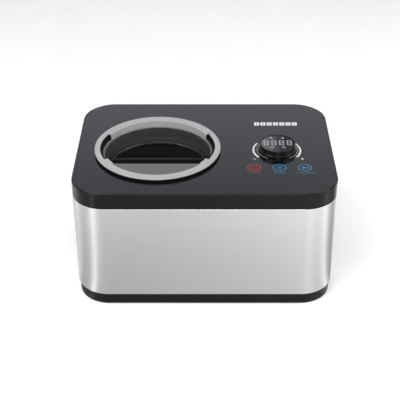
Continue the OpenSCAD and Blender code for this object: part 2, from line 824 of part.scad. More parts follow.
module lid_base() {
  skirt_in = well_r + skirt_t + 0.1;
  skirt_out = skirt_in + skirt_t;
  color([0.06, 0.06, 0.065]) at_bowl() rotate_extrude() {
    translate([skirt_in, skirt_z + seal_h]) square([skirt_t, top_z + lid_gap + 1.4 - skirt_z - seal_h]);
    translate([skirt_out - eps, top_z + lid_gap]) square([lid_r - 1.5 - skirt_out, 1.4]);
    translate([lid_r - 3, top_z + lid_gap]) square([1.5, ring_z - top_z - lid_gap]);
  }
}

module lid_plate() {
  color([0.45, 0.45, 0.46]) at_bowl()
    front_segment(plate_r - 0.1, lid_top - 2.4, 1.5, plate_edge);
}

module lid_seal() {
  color([0.55, 0.55, 0.56]) at_bowl(deck_z + 0.05)
    tube(well_r + 2 * skirt_t + 0.1, well_r + skirt_t + 0.1, skirt_z + seal_h - deck_z - 0.05);
}

// ---------- Compressor, condenser and fan ----------

plate_z = floor_top + 6 + grommet_h;

module compressor_shell() {
  dome = 18;
  color([0.08, 0.08, 0.09]) translate([comp_x, comp_y, plate_z + 2.5]) rotate_extrude()
    intersection() {
      union() {
        translate([0, dome]) square([comp_r, comp_h - 2 * dome]);
        square([comp_r - dome, comp_h]);
        for (z = [dome, comp_h - dome]) translate([comp_r - dome, z]) circle(dome);
      }
      square([comp_r, comp_h]);
    }
}

module compressor_plate() {
  color([0.1, 0.1, 0.11]) difference() {
    translate([comp_x, comp_y, plate_z]) rounded_plate(comp_plate_w, comp_plate_d, 10, 2.5);
    at_comp_holes(plate_z - eps) cylinder(r = 2.5 + fit_gap, h = 3);
  }
}

module compressor_grommets() {
  color([0.15, 0.15, 0.15]) at_comp_holes(floor_top + 6) tube(8, 2.5 + fit_gap, grommet_h);
}

module compressor_bolts() {
  color([0.7, 0.7, 0.72]) at_comp_holes(plate_z + 5.5) mirror([0, 0, 1])
    screw(2.5, plate_z + 5.5 - floor_top - 1, 5, 3);
}

module starter_box() {
  color([0.14, 0.14, 0.15]) translate([comp_x - 18, comp_y - comp_r - 21, plate_z + 24])
    cube([36, 20.8, 46]);
}

cond_tube_r = 2.6;
cond_rows = 5;
cond_bend_in = 5;
fin_pitch = 5;
cond_row_pitch = cond_h / cond_rows;

module at_cond_rows() {
  for (i = [0 : cond_rows - 1], k = [0, 1])
    translate([cond_x + cond_t * (0.25 + 0.5 * k), 0, cond_z + cond_row_pitch * (i + 0.5)])
      children();
}

module condenser_fins() {
  fins = floor((cond_w - 12) / fin_pitch);
  color([0.72, 0.74, 0.76]) difference() {
    for (i = [0 : fins])
      translate([cond_x, vent_y - fins * fin_pitch / 2 + i * fin_pitch - 0.3, cond_z])
        cube([cond_t, 0.6, cond_h]);
    at_cond_rows() translate([0, vent_y - cond_w / 2, 0]) rotate([-90, 0, 0])
      cylinder(r = cond_tube_r, h = cond_w);
  }
}

module condenser_tube() {
  half = cond_w / 2 - cond_bend_in;
  color([0.72, 0.45, 0.3]) {
    at_cond_rows() translate([0, vent_y - half, 0]) rotate([-90, 0, 0])
      cylinder(r = cond_tube_r, h = 2 * half);
    for (i = [0 : cond_rows - 1])
      translate([cond_x + cond_t / 2, vent_y + half, cond_z + cond_row_pitch * (i + 0.5)])
        rotate_extrude(angle = 180) translate([cond_t / 4, 0]) circle(cond_tube_r);
    for (i = [0 : cond_rows - 2])
      translate([cond_x + cond_t * (i % 2 == 0 ? 0.25 : 0.75), vent_y - half,
        cond_z + cond_row_pitch * (i + 1)])
        rotate([0, 90, 0]) rotate(180) rotate_extrude(angle = 180)
          translate([cond_row_pitch / 2, 0]) circle(cond_tube_r);
  }
}

module at_fan() {
  translate([fan_x, vent_y, fan_z]) rotate([0, 90, 0]) children();
}

strut_t = 3;

module fan_shroud() {
  side = 2 * fan_r + 12;
  color([0.11, 0.11, 0.12]) at_fan() difference() {
    translate([-side / 2, -side / 2, 0]) cube([side, side, fan_t]);
    difference() {
      translate([0, 0, -eps]) cylinder(r = fan_r + 1.5, h = fan_t + 2 * eps);
      translate([0, 0, -1]) intersection() {
        cylinder(r = fan_r + 3, h = strut_t + 1);
        union() for (a = [0, 90]) rotate(a) translate([-2.5, -fan_r - 3, 0])
          cube([5, 2 * fan_r + 6, strut_t + 1]);
      }
      translate([0, 0, -1]) cylinder(r = 18, h = strut_t + 1);
    }
    translate([0, 0, -eps]) cylinder(r = 1.6, h = strut_t + 2 * eps);
  }
}

module fan_motor() {
  color([0.2, 0.2, 0.21]) at_fan() mirror([0, 0, 1]) tube(16, 1.6, 9);
}

module fan_rotor() {
  hub_z = strut_t + 0.8;
  hub_h = fan_t - strut_t - 1.6;
  blade_h = hub_h - 1;
  color([0.16, 0.16, 0.17]) at_fan() {
    translate([0, 0, -6]) cylinder(r = 1.55, h = strut_t + 8);
    translate([0, 0, hub_z]) cylinder(r = 15, h = hub_h);
    for (i = [0 : 6]) rotate(i * 360 / 7) intersection() {
      translate([0, -12, hub_z + 0.5]) cube([fan_r, 24, blade_h]);
      translate([0, 0, hub_z + hub_h / 2]) rotate([35, 0, 0]) translate([12, -12, -0.8])
        cube([fan_r, 24, 1.6]);
      translate([0, 0, hub_z]) cylinder(r = fan_r, h = hub_h);
    }
  }
}

drier_x = comp_x + 52;
drier_y = comp_y - comp_r - 62;

module filter_drier() {
  color([0.7, 0.45, 0.3]) translate([drier_x, drier_y, floor_top + 34]) {
    cylinder(r = 8.5, h = 58);
    translate([0, 0, -6]) cylinder(r = 4, h = 70);
  }
}

module refrigerant_tubes() {
  comp_top = plate_z + 2.5 + comp_h;
  cond_in = cond_z + cond_row_pitch * (cond_rows - 0.5);
  cond_out = cond_z + cond_row_pitch * 0.5;
  tube_y = vent_y - cond_w / 2 + cond_bend_in;
  hot_x = cond_x + cond_t * 0.25;
  cool_x = cond_x + cond_t * 0.75;
  coil_exit = coil_z + coil_span;
  coil_end_x = bowl_x + coil_r + coil_tube_r + 0.4;
  side_x = foam_r + bowl_x + 7;
  low_z = floor_top + 18;
  high_z = floor_top + 106;
  color([0.74, 0.47, 0.31]) {
    bent_tube([[comp_x + 20, comp_y, comp_top], [comp_x + 20, comp_y, comp_top + 12],
      [comp_x + 20, tube_y - 24, comp_top + 12], [hot_x, tube_y - 24, comp_top + 12],
      [hot_x, tube_y - 24, cond_in], [hot_x, tube_y, cond_in]], 2.4, 8);
    bent_tube([[cool_x, tube_y, cond_out], [cool_x, drier_y, cond_out], [cool_x, drier_y, low_z],
      [drier_x, drier_y, low_z], [drier_x, drier_y, floor_top + 28]], 2.2, 5);
    bent_tube([[drier_x, drier_y, floor_top + 98], [drier_x, drier_y, high_z],
      [side_x, drier_y, high_z], [side_x, bowl_y, high_z], [side_x, bowl_y, coil_z],
      [coil_end_x, bowl_y, coil_z]], 1.4, 4);
    bent_tube([[coil_end_x, bowl_y, coil_exit], [side_x, bowl_y, coil_exit],
      [side_x, comp_y, coil_exit], [comp_x - 20, comp_y, coil_exit],
      [comp_x - 20, comp_y, comp_top]], 2.4, 6);
  }
}

// ---------- Electronics ----------

board_x = comp_x - 44;
power_w = 96;
power_h = 62;
board_stand = 24;
power_y = -body_d / 2 + 26;
power_z = floor_top + board_stand - 4;

module power_board() {
  color([0.1, 0.35, 0.2]) translate([board_x, power_y, power_z]) cube([power_w, board_t, power_h]);
}

module board_blocks() {
  back = power_y + board_t;
  color([0.15, 0.15, 0.4]) {
    translate([board_x + 8, back, power_z + 26]) cube([28, 22, 26]);
    translate([board_x + 46, back, power_z + 30]) cube([18, 15, 19]);
    translate([board_x + 72, back, power_z + 30]) cube([18, 15, 19]);
    for (i = [0 : 2]) translate([board_x + 52 + i * 14, back, power_z + 16]) rotate([-90, 0, 0])
      cylinder(r = 5, h = 14);
  }
}

module start_capacitor() {
  color([0.85, 0.85, 0.82]) translate([comp_x - 4, comp_y - comp_r - 46, floor_top])
    cylinder(r = 17, h = 56);
}

module control_board() {
  color([0.1, 0.35, 0.2]) difference() {
    translate([board_mid_x - board_w / 2, board_mid_y - board_d / 2, board_z])
      cube([board_w, board_d, board_t]);
    at_board_holes(board_z - eps) cylinder(r = screw_r + fit_gap, h = board_t + 2 * eps);
  }
}

module board_screws() {
  color([0.7, 0.7, 0.72]) at_board_holes(board_z - 2) screw(screw_r, 9, 3, 2);
}

module encoder_body() {
  color([0.2, 0.2, 0.22]) translate([encoder_x, dial_y, board_top]) difference() {
    translate([-6, -6, 0]) cube([12, 12, 6]);
    translate([0, 0, 1]) cylinder(r = 2.05, h = 6);
  }
}

module touch_springs() {
  wire = 0.6;
  pitch = 1.1;
  h = deck_top - board_top;
  turns = floor((h - 1.6) / pitch);
  color([0.75, 0.75, 0.77]) at_keys(board_top) rotate_extrude() {
    for (i = [0 : turns]) translate([key_spring_r - wire, wire + i * pitch]) circle(wire, $fn = 24);
    translate([key_spring_r - wire - 0.3, wire]) square([0.6, h - 1.5]);
    translate([0, h - 1]) square([key_spring_r - 0.1, 1]);
  }
}

cup_post_r = neck_in_r - 0.8;

module display_cup() {
  color([0.08, 0.08, 0.085]) at_dial() difference() {
    union() {
      translate([0, 0, board_top]) cylinder(r = cup_post_r, h = cup_z - board_top + eps);
      translate([0, 0, cup_z]) cylinder(r = lens_r, h = top_z + dial_h - 0.6 - lens_t - cup_z);
    }
    translate([0, 0, board_top - eps]) cylinder(r = cup_post_r - 2, h = cup_z - 1 - board_top);
    translate([0, 0, cup_z + 1.2]) cylinder(r = lens_r - 1.5, h = dial_h);
  }
}
lens_t = 1.6;

module display_module() {
  color([0.85, 0.86, 0.88]) at_dial(cup_z + 1.2) translate([-17, -8, 0])
    cube([34, 16, top_z + dial_h - 0.6 - lens_t - cup_z - 1.2]);
}

module display_lens() {
  color([0.05, 0.05, 0.06]) at_dial(top_z + dial_h - 0.6 - lens_t) cylinder(r = lens_r, h = lens_t);
}

module dial_ring() {
  foot = top_z + 0.4;
  crown = top_z + dial_h;
  top_r = dial_r - dial_taper;
  in_r = lens_r + 0.3;
  color([0.05, 0.05, 0.055]) at_dial() {
    rotate_extrude() polygon([[neck_in_r, dial_gear_z], [neck_out_r, dial_gear_z],
      [neck_out_r, foot], [dial_r, foot], [dial_r, foot + 2.4], [dial_r - 0.7, foot + 3],
      [top_r, crown - 0.5], [top_r - 0.5, crown], [in_r, crown], [in_r, cup_z - 0.4],
      [neck_in_r, cup_z - 0.4]]);
    translate([0, 0, dial_gear_z]) gear(dial_m, dial_teeth, dial_gear_h, neck_out_r - eps);
  }
}

module encoder_gear() {
  color([0.9, 0.88, 0.8]) translate([encoder_x, dial_y, 0]) {
    translate([0, 0, dial_gear_z]) rotate(180 + 180 / encoder_teeth)
      gear(dial_m, encoder_teeth, dial_gear_h, 2 - eps);
    translate([0, 0, board_top + 1.2]) cylinder(r = 2, h = dial_gear_z + dial_gear_h - board_top - 1.2);
  }
}

base_tray();
rubber_feet();
foot_screws();
case_screws();
corner_posts();
steel_wrap();
top_frame();
top_panel();
right_grille();
left_grille();
power_inlet();
inlet_pins();
cooling_drum();
chamber_collar();
evaporator_coil();
foam_jacket();
gearbox_lower();
gearbox_cover();
gearbox_screws();
idler_pin();
shaft_bush();
shaft_seal();
motor_can();
motor_stator();
compressor_shell();
compressor_plate();
compressor_grommets();
compressor_bolts();
starter_box();
condenser_fins();
condenser_tube();
fan_shroud();
fan_motor();
filter_drier();
refrigerant_tubes();
power_board();
board_blocks();
start_capacitor();
control_board();
board_screws();
encoder_body();
touch_springs();
display_cup();
display_module();
display_lens();
lid_ring();
lid_base();
lid_plate();
lid_seal();
bowl();
bowl_bail();
bail_grip();
paddle();
drive_shaft();
output_gear();
idler_gear();
motor_rotor();
fan_rotor();
dial_ring();
encoder_gear();
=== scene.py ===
import json
import math

import bmesh
import bpy
from mathutils import Matrix, Vector


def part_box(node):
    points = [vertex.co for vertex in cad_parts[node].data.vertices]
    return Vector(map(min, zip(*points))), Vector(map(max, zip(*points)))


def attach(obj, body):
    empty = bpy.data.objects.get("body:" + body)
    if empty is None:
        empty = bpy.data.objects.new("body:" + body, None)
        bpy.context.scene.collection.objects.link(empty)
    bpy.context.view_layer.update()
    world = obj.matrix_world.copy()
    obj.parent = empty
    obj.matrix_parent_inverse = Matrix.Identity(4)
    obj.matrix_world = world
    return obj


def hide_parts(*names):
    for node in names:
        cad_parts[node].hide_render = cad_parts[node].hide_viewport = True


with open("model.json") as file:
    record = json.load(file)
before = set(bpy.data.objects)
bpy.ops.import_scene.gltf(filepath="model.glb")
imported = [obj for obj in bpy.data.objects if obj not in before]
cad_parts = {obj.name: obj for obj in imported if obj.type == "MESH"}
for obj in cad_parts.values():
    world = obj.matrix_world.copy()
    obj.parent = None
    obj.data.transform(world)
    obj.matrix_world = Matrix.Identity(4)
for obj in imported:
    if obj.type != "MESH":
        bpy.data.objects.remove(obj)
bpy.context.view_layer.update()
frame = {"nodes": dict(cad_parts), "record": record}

bl_info = {
    "name": "Ice Cream Maker Pieces",
    "version": (1, 0, 0),
    "blender": (4, 5, 0),
    "location": "3D View > Sidebar > Ice Cream",
    "description": "Builds the visible pieces, finishes and stage of a countertop ice cream maker",
    "category": "Object",
}

MM = 0.001
TAU = math.tau
FLOOR_SIZE = 12.0

# How the mirrored card glows, as (position, level) stops: by direction round a left and a right
# corner (0 ahead, 1 behind), by metres out from the corner's pivot, and by metres across from
# CARD_SIDE left of the middle
CARD_LEFT = ((0.0, 0.88), (0.16, 0.95), (0.2, 1.3), (0.235, 2.8), (0.27, 1.2), (0.33, 0.85),
             (0.48, 0.8), (0.6, 1.4), (0.7, 1.0), (0.83, 0.5), (1.0, 1.0))
CARD_RIGHT = ((0.0, 0.88), (0.06, 0.95), (0.13, 1.05), (0.25, 0.85), (0.36, 0.95), (0.42, 1.55),
              (0.48, 0.75), (0.58, 0.3), (0.7, 0.6), (0.8, 1.2), (1.0, 1.0))
CARD_OUTWARD = ((0.05, 0.74), (0.2, 0.86), (0.38, 1.1))
CARD_ACROSS = ((0.36, 1.0), (0.5, 1.13), (0.6, 1.26), (0.66, 1.38))
CARD_SIDE = 0.5
CARD_PEAK = 4.0
CARD_HALF = 1.5
CARD_LIFT = 0.0004

# Each softbox: its place, width and power
LAMPS = {
    "key_softbox": ((-0.9, -0.7, 1.7), 1.4, 30),
    "fill_softbox": ((1.4, -0.5, 1.2), 1.2, 18),
    "front_softbox": ((0.2, -1.9, 1.1), 0.8, 16),
}
LAMP_AIM = (0, 0, 0.1)

# The sky's brightness by the sine of the elevation, from the horizon (0) to straight up (1)
SKY_STOPS = ((0.44, 1.0), (0.515, 0.75), (0.57, 0.46), (0.68, 0.35))
SKY_TINT = (0.92, 0.95, 1.0)


# ---------- Places read from the frame ----------

def low(node):
    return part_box(node)[0]


def high(node):
    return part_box(node)[1]


def middle(node):
    """The centre of a node's box."""
    return (low(node) + high(node)) / 2


BOWL = middle("lid_ring")
DIAL = middle("dial_ring")
PANEL_TOP = high("top_panel").z
LID_TOP = high("lid_ring").z
LENS_TOP = high("display_lens").z
CABINET = high("steel_wrap") - low("steel_wrap")


# ---------- Settings that a user would change ----------

class CabinetSettings(bpy.types.PropertyGroup):
    corner: bpy.props.FloatProperty(
        name="Corner radius", description="Radius of the cabinet's upright corners",
        default=49 * MM, min=30 * MM, max=60 * MM, unit="LENGTH", precision=4)
    corner_steps: bpy.props.IntProperty(
        name="Corner steps", description="Faces round each upright corner",
        default=20, min=6, max=40)
    soft_edge: bpy.props.FloatProperty(
        name="Soft edge", description="Width of the rounding on moulded edges",
        default=0.4 * MM, min=0.1 * MM, max=1 * MM, unit="LENGTH", precision=4)
    slat_tilt: bpy.props.FloatProperty(
        name="Slat tilt", description="Lean of the grille slats",
        default=math.radians(32), min=0, max=math.radians(50), subtype="ANGLE")


class LidSettings(bpy.types.PropertyGroup):
    steps: bpy.props.IntProperty(
        name="Round steps", description="Faces round the lid, collar and bowl",
        default=160, min=48, max=256)
    notch_half: bpy.props.FloatProperty(
        name="Notch half angle", description="Half the angle of each finger notch",
        default=math.radians(27), min=math.radians(15), max=math.radians(32), subtype="ANGLE")
    slope_start: bpy.props.FloatProperty(
        name="Slope start", description="Where the ring's top begins to fall, in from its edge",
        default=4.6 * MM, min=2 * MM, max=8 * MM, unit="LENGTH", precision=4)


class DialSettings(bpy.types.PropertyGroup):
    steps: bpy.props.IntProperty(
        name="Round steps", description="Faces round the dial", default=128, min=48, max=256)
    arc_radius: bpy.props.FloatProperty(
        name="Arc radius", description="Middle radius of the two arc marks",
        default=35.4 * MM, min=32 * MM, max=42 * MM, unit="LENGTH", precision=4)
    arc_width: bpy.props.FloatProperty(
        name="Arc width", description="Width of the two arc marks",
        default=2.6 * MM, min=1 * MM, max=4 * MM, unit="LENGTH", precision=4)
    arc_half: bpy.props.FloatProperty(
        name="Arc half angle", description="Half the angle of each arc mark",
        default=math.radians(36), min=math.radians(20), max=math.radians(60), subtype="ANGLE")
    key_pitch: bpy.props.FloatProperty(
        name="Key pitch", description="Distance between the touch keys",
        default=37.3 * MM, min=30 * MM, max=40 * MM, unit="LENGTH", precision=4)
    key_ahead: bpy.props.FloatProperty(
        name="Keys ahead", description="From the dial's axis forward to the touch keys",
        default=53.4 * MM, min=45 * MM, max=60 * MM, unit="LENGTH", precision=4)
    key_radius: bpy.props.FloatProperty(
        name="Key radius", description="Radius of the ring round each touch key",
        default=9.4 * MM, min=6 * MM, max=12 * MM, unit="LENGTH", precision=4)
    print_height: bpy.props.FloatProperty(
        name="Print height", description="Thickness of the printed marks",
        default=0.06 * MM, min=0.02 * MM, max=0.2 * MM, unit="LENGTH", precision=5)


def colour_setting(name, description, value):
    return bpy.props.FloatVectorProperty(
        name=name, description=description, default=value, min=0, max=1, size=4, subtype="COLOR")


class FinishSettings(bpy.types.PropertyGroup):
    steel: colour_setting("Steel", "Brushed steel of the wrap", (0.60, 0.605, 0.61, 1))
    panel: colour_setting("Panel", "Gloss top panel", (0.0028, 0.0032, 0.0045, 1))
    band: colour_setting("Band", "Black band and base", (0.004, 0.004, 0.0045, 1))
    lid: colour_setting("Lid ring", "Silver-grey lid ring", (0.29, 0.29, 0.29, 1))
    plate: colour_setting("Lid plate", "Front plate of the lid", (0.088, 0.088, 0.09, 1))
    white: colour_setting("White print", "Arc marks and bar mark", (0.62, 0.62, 0.63, 1))
    red: colour_setting("Red print", "Power key mark", (0.26, 0.025, 0.038, 1))
    blue: colour_setting("Blue print", "Menu and start key marks", (0.035, 0.14, 0.25, 1))


class StageSettings(bpy.types.PropertyGroup):
    elevation: bpy.props.FloatProperty(
        name="Camera elevation", description="Camera's angle above the horizon",
        default=math.radians(32.74), min=0, max=math.radians(80), subtype="ANGLE")
    distance: bpy.props.FloatProperty(
        name="Camera distance", description="From the aiming point to the camera",
        default=1.5698, min=0.5, max=5, unit="LENGTH")
    aim_height: bpy.props.FloatProperty(
        name="Aim height", description="Height of the aiming point",
        default=0.0983, min=0, max=0.3, unit="LENGTH")
    aim_side: bpy.props.FloatProperty(
        name="Aim side", description="How far right of the middle the aiming point is",
        default=0.65 * MM, min=-0.1, max=0.1, unit="LENGTH", precision=5)
    lens: bpy.props.FloatProperty(
        name="Lens", description="Focal length in millimetres", default=89.87, min=20, max=200)
    shift: bpy.props.FloatProperty(
        name="Lens shift", description="Sideways shift of the picture",
        default=-0.0130, min=-0.1, max=0.1)


SETTINGS = {
    "ice_cabinet": CabinetSettings,
    "ice_lid": LidSettings,
    "ice_dial": DialSettings,
    "ice_finish": FinishSettings,
    "ice_stage": StageSettings,
}


# ---------- Mesh helpers ----------

def chain(bm, points, closed):
    """Joins points into one chain of edges and returns its vertices and edges."""
    verts = [bm.verts.new(p) for p in points]
    pairs = list(zip(verts, verts[1:]))
    if closed:
        pairs.append((verts[-1], verts[0]))
    return verts, [bm.edges.new(pair) for pair in pairs]


def arc(centre, radius, start, end, steps):
    """Points of an arc in a profile, from one angle to another in degrees."""
    turn = [math.radians(start + (end - start) * i / steps) for i in range(steps + 1)]
    return [(centre[0] + radius * math.cos(a), centre[1] + radius * math.sin(a)) for a in turn]


def millimetres(points):
    return [(a * MM, b * MM) for a, b in points]


def only(kind, geometry):
    return [g for g in geometry if isinstance(g, kind)]


def weld(bm):
    bmesh.ops.remove_doubles(bm, verts=bm.verts, dist=1e-6)


def revolve(bm, profile, centre, steps, closed=True):
    """Spins a profile of (radius, height) points once round an upright axis."""
    points = [(centre.x + r, centre.y, z) for r, z in profile]
    verts, edges = chain(bm, points, closed)
    bmesh.ops.spin(bm, geom=verts + edges, cent=(centre.x, centre.y, 0), axis=(0, 0, 1),
                   dvec=(0, 0, 0), angle=TAU, steps=steps, use_merge=True)
    weld(bm)


def sector(bm, profile, centre, middle_angle, half_angle, steps):
    """Spins a closed profile through part of a turn and closes both ends."""
    start = middle_angle - half_angle
    turn = Matrix.Rotation(start, 3, "Z")
    points = [turn @ Vector((r, 0, z)) + Vector((centre.x, centre.y, 0)) for r, z in profile]
    verts, edges = chain(bm, points, True)
    made = bmesh.ops.spin(bm, geom=verts + edges, cent=(centre.x, centre.y, 0), axis=(0, 0, 1),
                          dvec=(0, 0, 0), angle=2 * half_angle, steps=steps)
    ends = edges + only(bmesh.types.BMEdge, made["geom_last"])
    bmesh.ops.holes_fill(bm, edges=ends, sides=0)


def sweep_outline(bm, profile, corner, steps, closed=True):
    """Carries a profile of (inset, height) points round the cabinet's rounded outline."""
    half_x, half_y = CABINET.x / 2, CABINET.y / 2
    points = [(half_x - inset, corner - half_y, z) for inset, z in profile]
    verts, edges = chain(bm, points, closed)
    for side in range(4):
        run = (CABINET.y if side % 2 == 0 else CABINET.x) - 2 * corner
        turn = Matrix.Rotation(side * TAU / 4, 3, "Z")
        grown = bmesh.ops.extrude_edge_only(bm, edges=edges)["geom"]
        moved = only(bmesh.types.BMVert, grown)
        bmesh.ops.translate(bm, verts=moved, vec=turn @ Vector((0, run, 0)))
        moved_set = set(moved)
        edges = [e for e in only(bmesh.types.BMEdge, grown) if set(e.verts) <= moved_set]
        sign_x = 1 if side in (0, 3) else -1
        sign_y = 1 if side in (0, 1) else -1
        pivot = (sign_x * (half_x - corner), sign_y * (half_y - corner), 0)
        made = bmesh.ops.spin(bm, geom=moved + edges, cent=pivot, axis=(0, 0, 1),
                              dvec=(0, 0, 0), angle=TAU / 4, steps=steps)
        edges = only(bmesh.types.BMEdge, made["geom_last"])
    weld(bm)


def fill_open_loops(bm):
    """Closes every open loop with one flat face."""
    bmesh.ops.holes_fill(bm, edges=[e for e in bm.edges if e.is_boundary], sides=0)


def block(bm, low_corner, high_corner, turn=None):
    """Adds a closed block between two corners, turned about its own middle."""
    low_corner, high_corner = Vector(low_corner), Vector(high_corner)
    size = high_corner - low_corner
    place = Matrix.Translation((low_corner + high_corner) / 2) @ (turn or Matrix.Identity(4))
    scale = Matrix.Diagonal((size.x, size.y, size.z, 1))
    return bmesh.ops.create_cube(bm, size=1, matrix=place @ scale)["verts"]


def drum(bm, centre, radius, low_z, high_z, steps):
    """Adds a closed upright cylinder."""
    place = Matrix.Translation((centre.x, centre.y, (low_z + high_z) / 2))
    bmesh.ops.create_cone(bm, cap_ends=True, segments=steps, radius1=radius, radius2=radius,
                          depth=high_z - low_z, matrix=place)


def plain_object(name, bm):
    bmesh.ops.recalc_face_normals(bm, faces=bm.faces)
    mesh = bpy.data.meshes.new(name)
    bm.to_mesh(mesh)
    bm.free()
    piece = bpy.data.objects.new(name, mesh)
    bpy.context.scene.collection.objects.link(piece)
    return piece


def cut_away(piece, cutter_bm):
    """Cuts a closed shape out of a piece and keeps the result as its mesh."""
    tool = plain_object("cutter", cutter_bm)
    cut = piece.modifiers.new("cut", "BOOLEAN")
    cut.operation = "DIFFERENCE"
    cut.solver = "EXACT"
    cut.object = tool
    depsgraph = bpy.context.evaluated_depsgraph_get()
    result = bpy.data.meshes.new_from_object(piece.evaluated_get(depsgraph))
    piece.modifiers.clear()
    old = piece.data
    piece.data = result
    bpy.data.meshes.remove(old)
    bpy.data.objects.remove(tool)
    tidy = bmesh.new()
    tidy.from_mesh(result)
    bmesh.ops.remove_doubles(tidy, verts=tidy.verts, dist=1e-6)
    tidy.to_mesh(result)
    tidy.free()


def finish_piece(piece, finish, body, slot, nodes=(), bevel=0.0, sharp=38, segments=2):
    """Rounds a piece's edges, shades it, and ties it to its body and CAD nodes; its slot is not used.
    """
    mesh = piece.data
    mesh.materials.clear()
    mesh.materials.append(finish)
    mesh.polygons.foreach_set("use_smooth", [True] * len(mesh.polygons))
    mesh.set_sharp_from_angle(angle=math.radians(sharp))
    if bevel:
        rounding = piece.modifiers.new("rounding", "BEVEL")
        rounding.width = bevel
        rounding.segments = segments
        rounding.limit_method = "ANGLE"
        rounding.angle_limit = math.radians(sharp)
        rounding.use_clamp_overlap = True
    even = piece.modifiers.new("even_shading", "WEIGHTED_NORMAL")
    even.keep_sharp = not bevel
    if nodes:
        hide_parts(*nodes)
    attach(piece, body)
    return piece


# ---------- Shared shader groups ----------

def new_group(name, inputs, outputs):
    """An empty shader group with its input and output sockets."""
    group = bpy.data.node_groups.new(name, "ShaderNodeTree")
    for label, kind, value in inputs:
        socket = group.interface.new_socket(label, in_out="INPUT", socket_type=kind)
        socket.default_value = value
    for label, kind in outputs:
        group.interface.new_socket(label, in_out="OUTPUT", socket_type=kind)
    return group, group.nodes.new("NodeGroupInput"), group.nodes.new("NodeGroupOutput")


def math_node(tree, operation, first, second):
    node = tree.nodes.new("ShaderNodeMath")
    node.operation = operation
    for socket, value in zip(node.inputs, (first, second)):
        if isinstance(value, (int, float)):
            socket.default_value = value
        else:
            tree.links.new(value, socket)
    return node.outputs[0]


def spread(tree, value, low_value, high_value):
    """Maps a 0 to 1 value onto a range."""
    node = tree.nodes.new("ShaderNodeMapRange")
    tree.links.new(value, node.inputs["Value"])
    for label, end in (("To Min", low_value), ("To Max", high_value)):
        if isinstance(end, (int, float)):
            node.inputs[label].default_value = end
        else:
            tree.links.new(end, node.inputs[label])
    return node.outputs["Result"]


FLOAT = "NodeSocketFloat"


def grain_group():
    """Fine moulded grain: roughness, height and a slow change of tone."""
    group, given, made = new_group(
        "moulded_grain",
        [("Scale", FLOAT, 900.0), ("Smooth", FLOAT, 0.3), ("Rough", FLOAT, 0.4)],
        [("Roughness", FLOAT), ("Height", FLOAT), ("Tone", FLOAT)])
    place = group.nodes.new("ShaderNodeTexCoord")
    fine = group.nodes.new("ShaderNodeTexNoise")
    fine.inputs["Detail"].default_value = 3
    group.links.new(place.outputs["Object"], fine.inputs["Vector"])
    group.links.new(given.outputs["Scale"], fine.inputs["Scale"])
    slow = group.nodes.new("ShaderNodeTexNoise")
    slow.inputs["Scale"].default_value = 14
    slow.inputs["Detail"].default_value = 4
    group.links.new(place.outputs["Object"], slow.inputs["Vector"])
    mixed = math_node(group, "ADD", math_node(group, "MULTIPLY", fine.outputs["Fac"], 0.4),
                      math_node(group, "MULTIPLY", slow.outputs["Fac"], 0.6))
    rough = spread(group, mixed, given.outputs["Smooth"], given.outputs["Rough"])
    group.links.new(rough, made.inputs["Roughness"])
    group.links.new(fine.outputs["Fac"], made.inputs["Height"])
    group.links.new(slow.outputs["Fac"], made.inputs["Tone"])
    return group


def brush_group():
    """Level brush lines: long streaks round the piece that change quickly with height."""
    group, given, made = new_group(
        "level_brushing",
        [("Lines", FLOAT, 1400.0), ("Stretch", FLOAT, 0.012), ("Smooth", FLOAT, 0.25),
         ("Rough", FLOAT, 0.4)],
        [("Roughness", FLOAT), ("Height", FLOAT), ("Tone", FLOAT)])
    place = group.nodes.new("ShaderNodeTexCoord")
    apart = group.nodes.new("ShaderNodeSeparateXYZ")
    group.links.new(place.outputs["Object"], apart.inputs[0])
    along = [math_node(group, "MULTIPLY", apart.outputs[i], given.outputs["Stretch"]) for i in (0, 1)]
    together = group.nodes.new("ShaderNodeCombineXYZ")
    group.links.new(along[0], together.inputs[0])
    group.links.new(along[1], together.inputs[1])
    group.links.new(apart.outputs[2], together.inputs[2])
    outputs = []
    for factor, detail in ((1.0, 3), (0.22, 2)):
        lines = group.nodes.new("ShaderNodeTexNoise")
        lines.inputs["Detail"].default_value = detail
        group.links.new(together.outputs[0], lines.inputs["Vector"])
        scale = math_node(group, "MULTIPLY", given.outputs["Lines"], factor)
        group.links.new(scale, lines.inputs["Scale"])
        outputs.append(lines.outputs["Fac"])
    mixed = math_node(group, "ADD", math_node(group, "MULTIPLY", outputs[0], 0.6),
                      math_node(group, "MULTIPLY", outputs[1], 0.4))
    rough = spread(group, mixed, given.outputs["Smooth"], given.outputs["Rough"])
    group.links.new(rough, made.inputs["Roughness"])
    group.links.new(mixed, made.inputs["Height"])
    group.links.new(outputs[1], made.inputs["Tone"])
    return group


def wear_group():
    """Light rubbing where edges stand out, broken up by noise."""
    group, given, made = new_group(
        "edge_rub", [("Amount", FLOAT, 0.3)], [("Mask", FLOAT)])
    shape = group.nodes.new("ShaderNodeNewGeometry")
    place = group.nodes.new("ShaderNodeTexCoord")
    noise = group.nodes.new("ShaderNodeTexNoise")
    noise.inputs["Scale"].default_value = 90
    noise.inputs["Detail"].default_value = 5
    group.links.new(place.outputs["Object"], noise.inputs["Vector"])
    edge = group.nodes.new("ShaderNodeMapRange")
    edge.inputs["From Min"].default_value = 0.53
    edge.inputs["From Max"].default_value = 0.62
    group.links.new(shape.outputs["Pointiness"], edge.inputs["Value"])
    broken = math_node(group, "MULTIPLY", edge.outputs["Result"], noise.outputs["Fac"])
    group.links.new(math_node(group, "MULTIPLY", broken, given.outputs["Amount"]),
                    made.inputs["Mask"])
    return group


SHARED = {}


def shared(name):
    """Each shared group is made once and used by every material that needs it."""
    makers = {"grain": grain_group, "brush": brush_group, "rub": wear_group}
    if name not in SHARED:
        SHARED[name] = makers[name]()
    return SHARED[name]


# ---------- Materials ----------

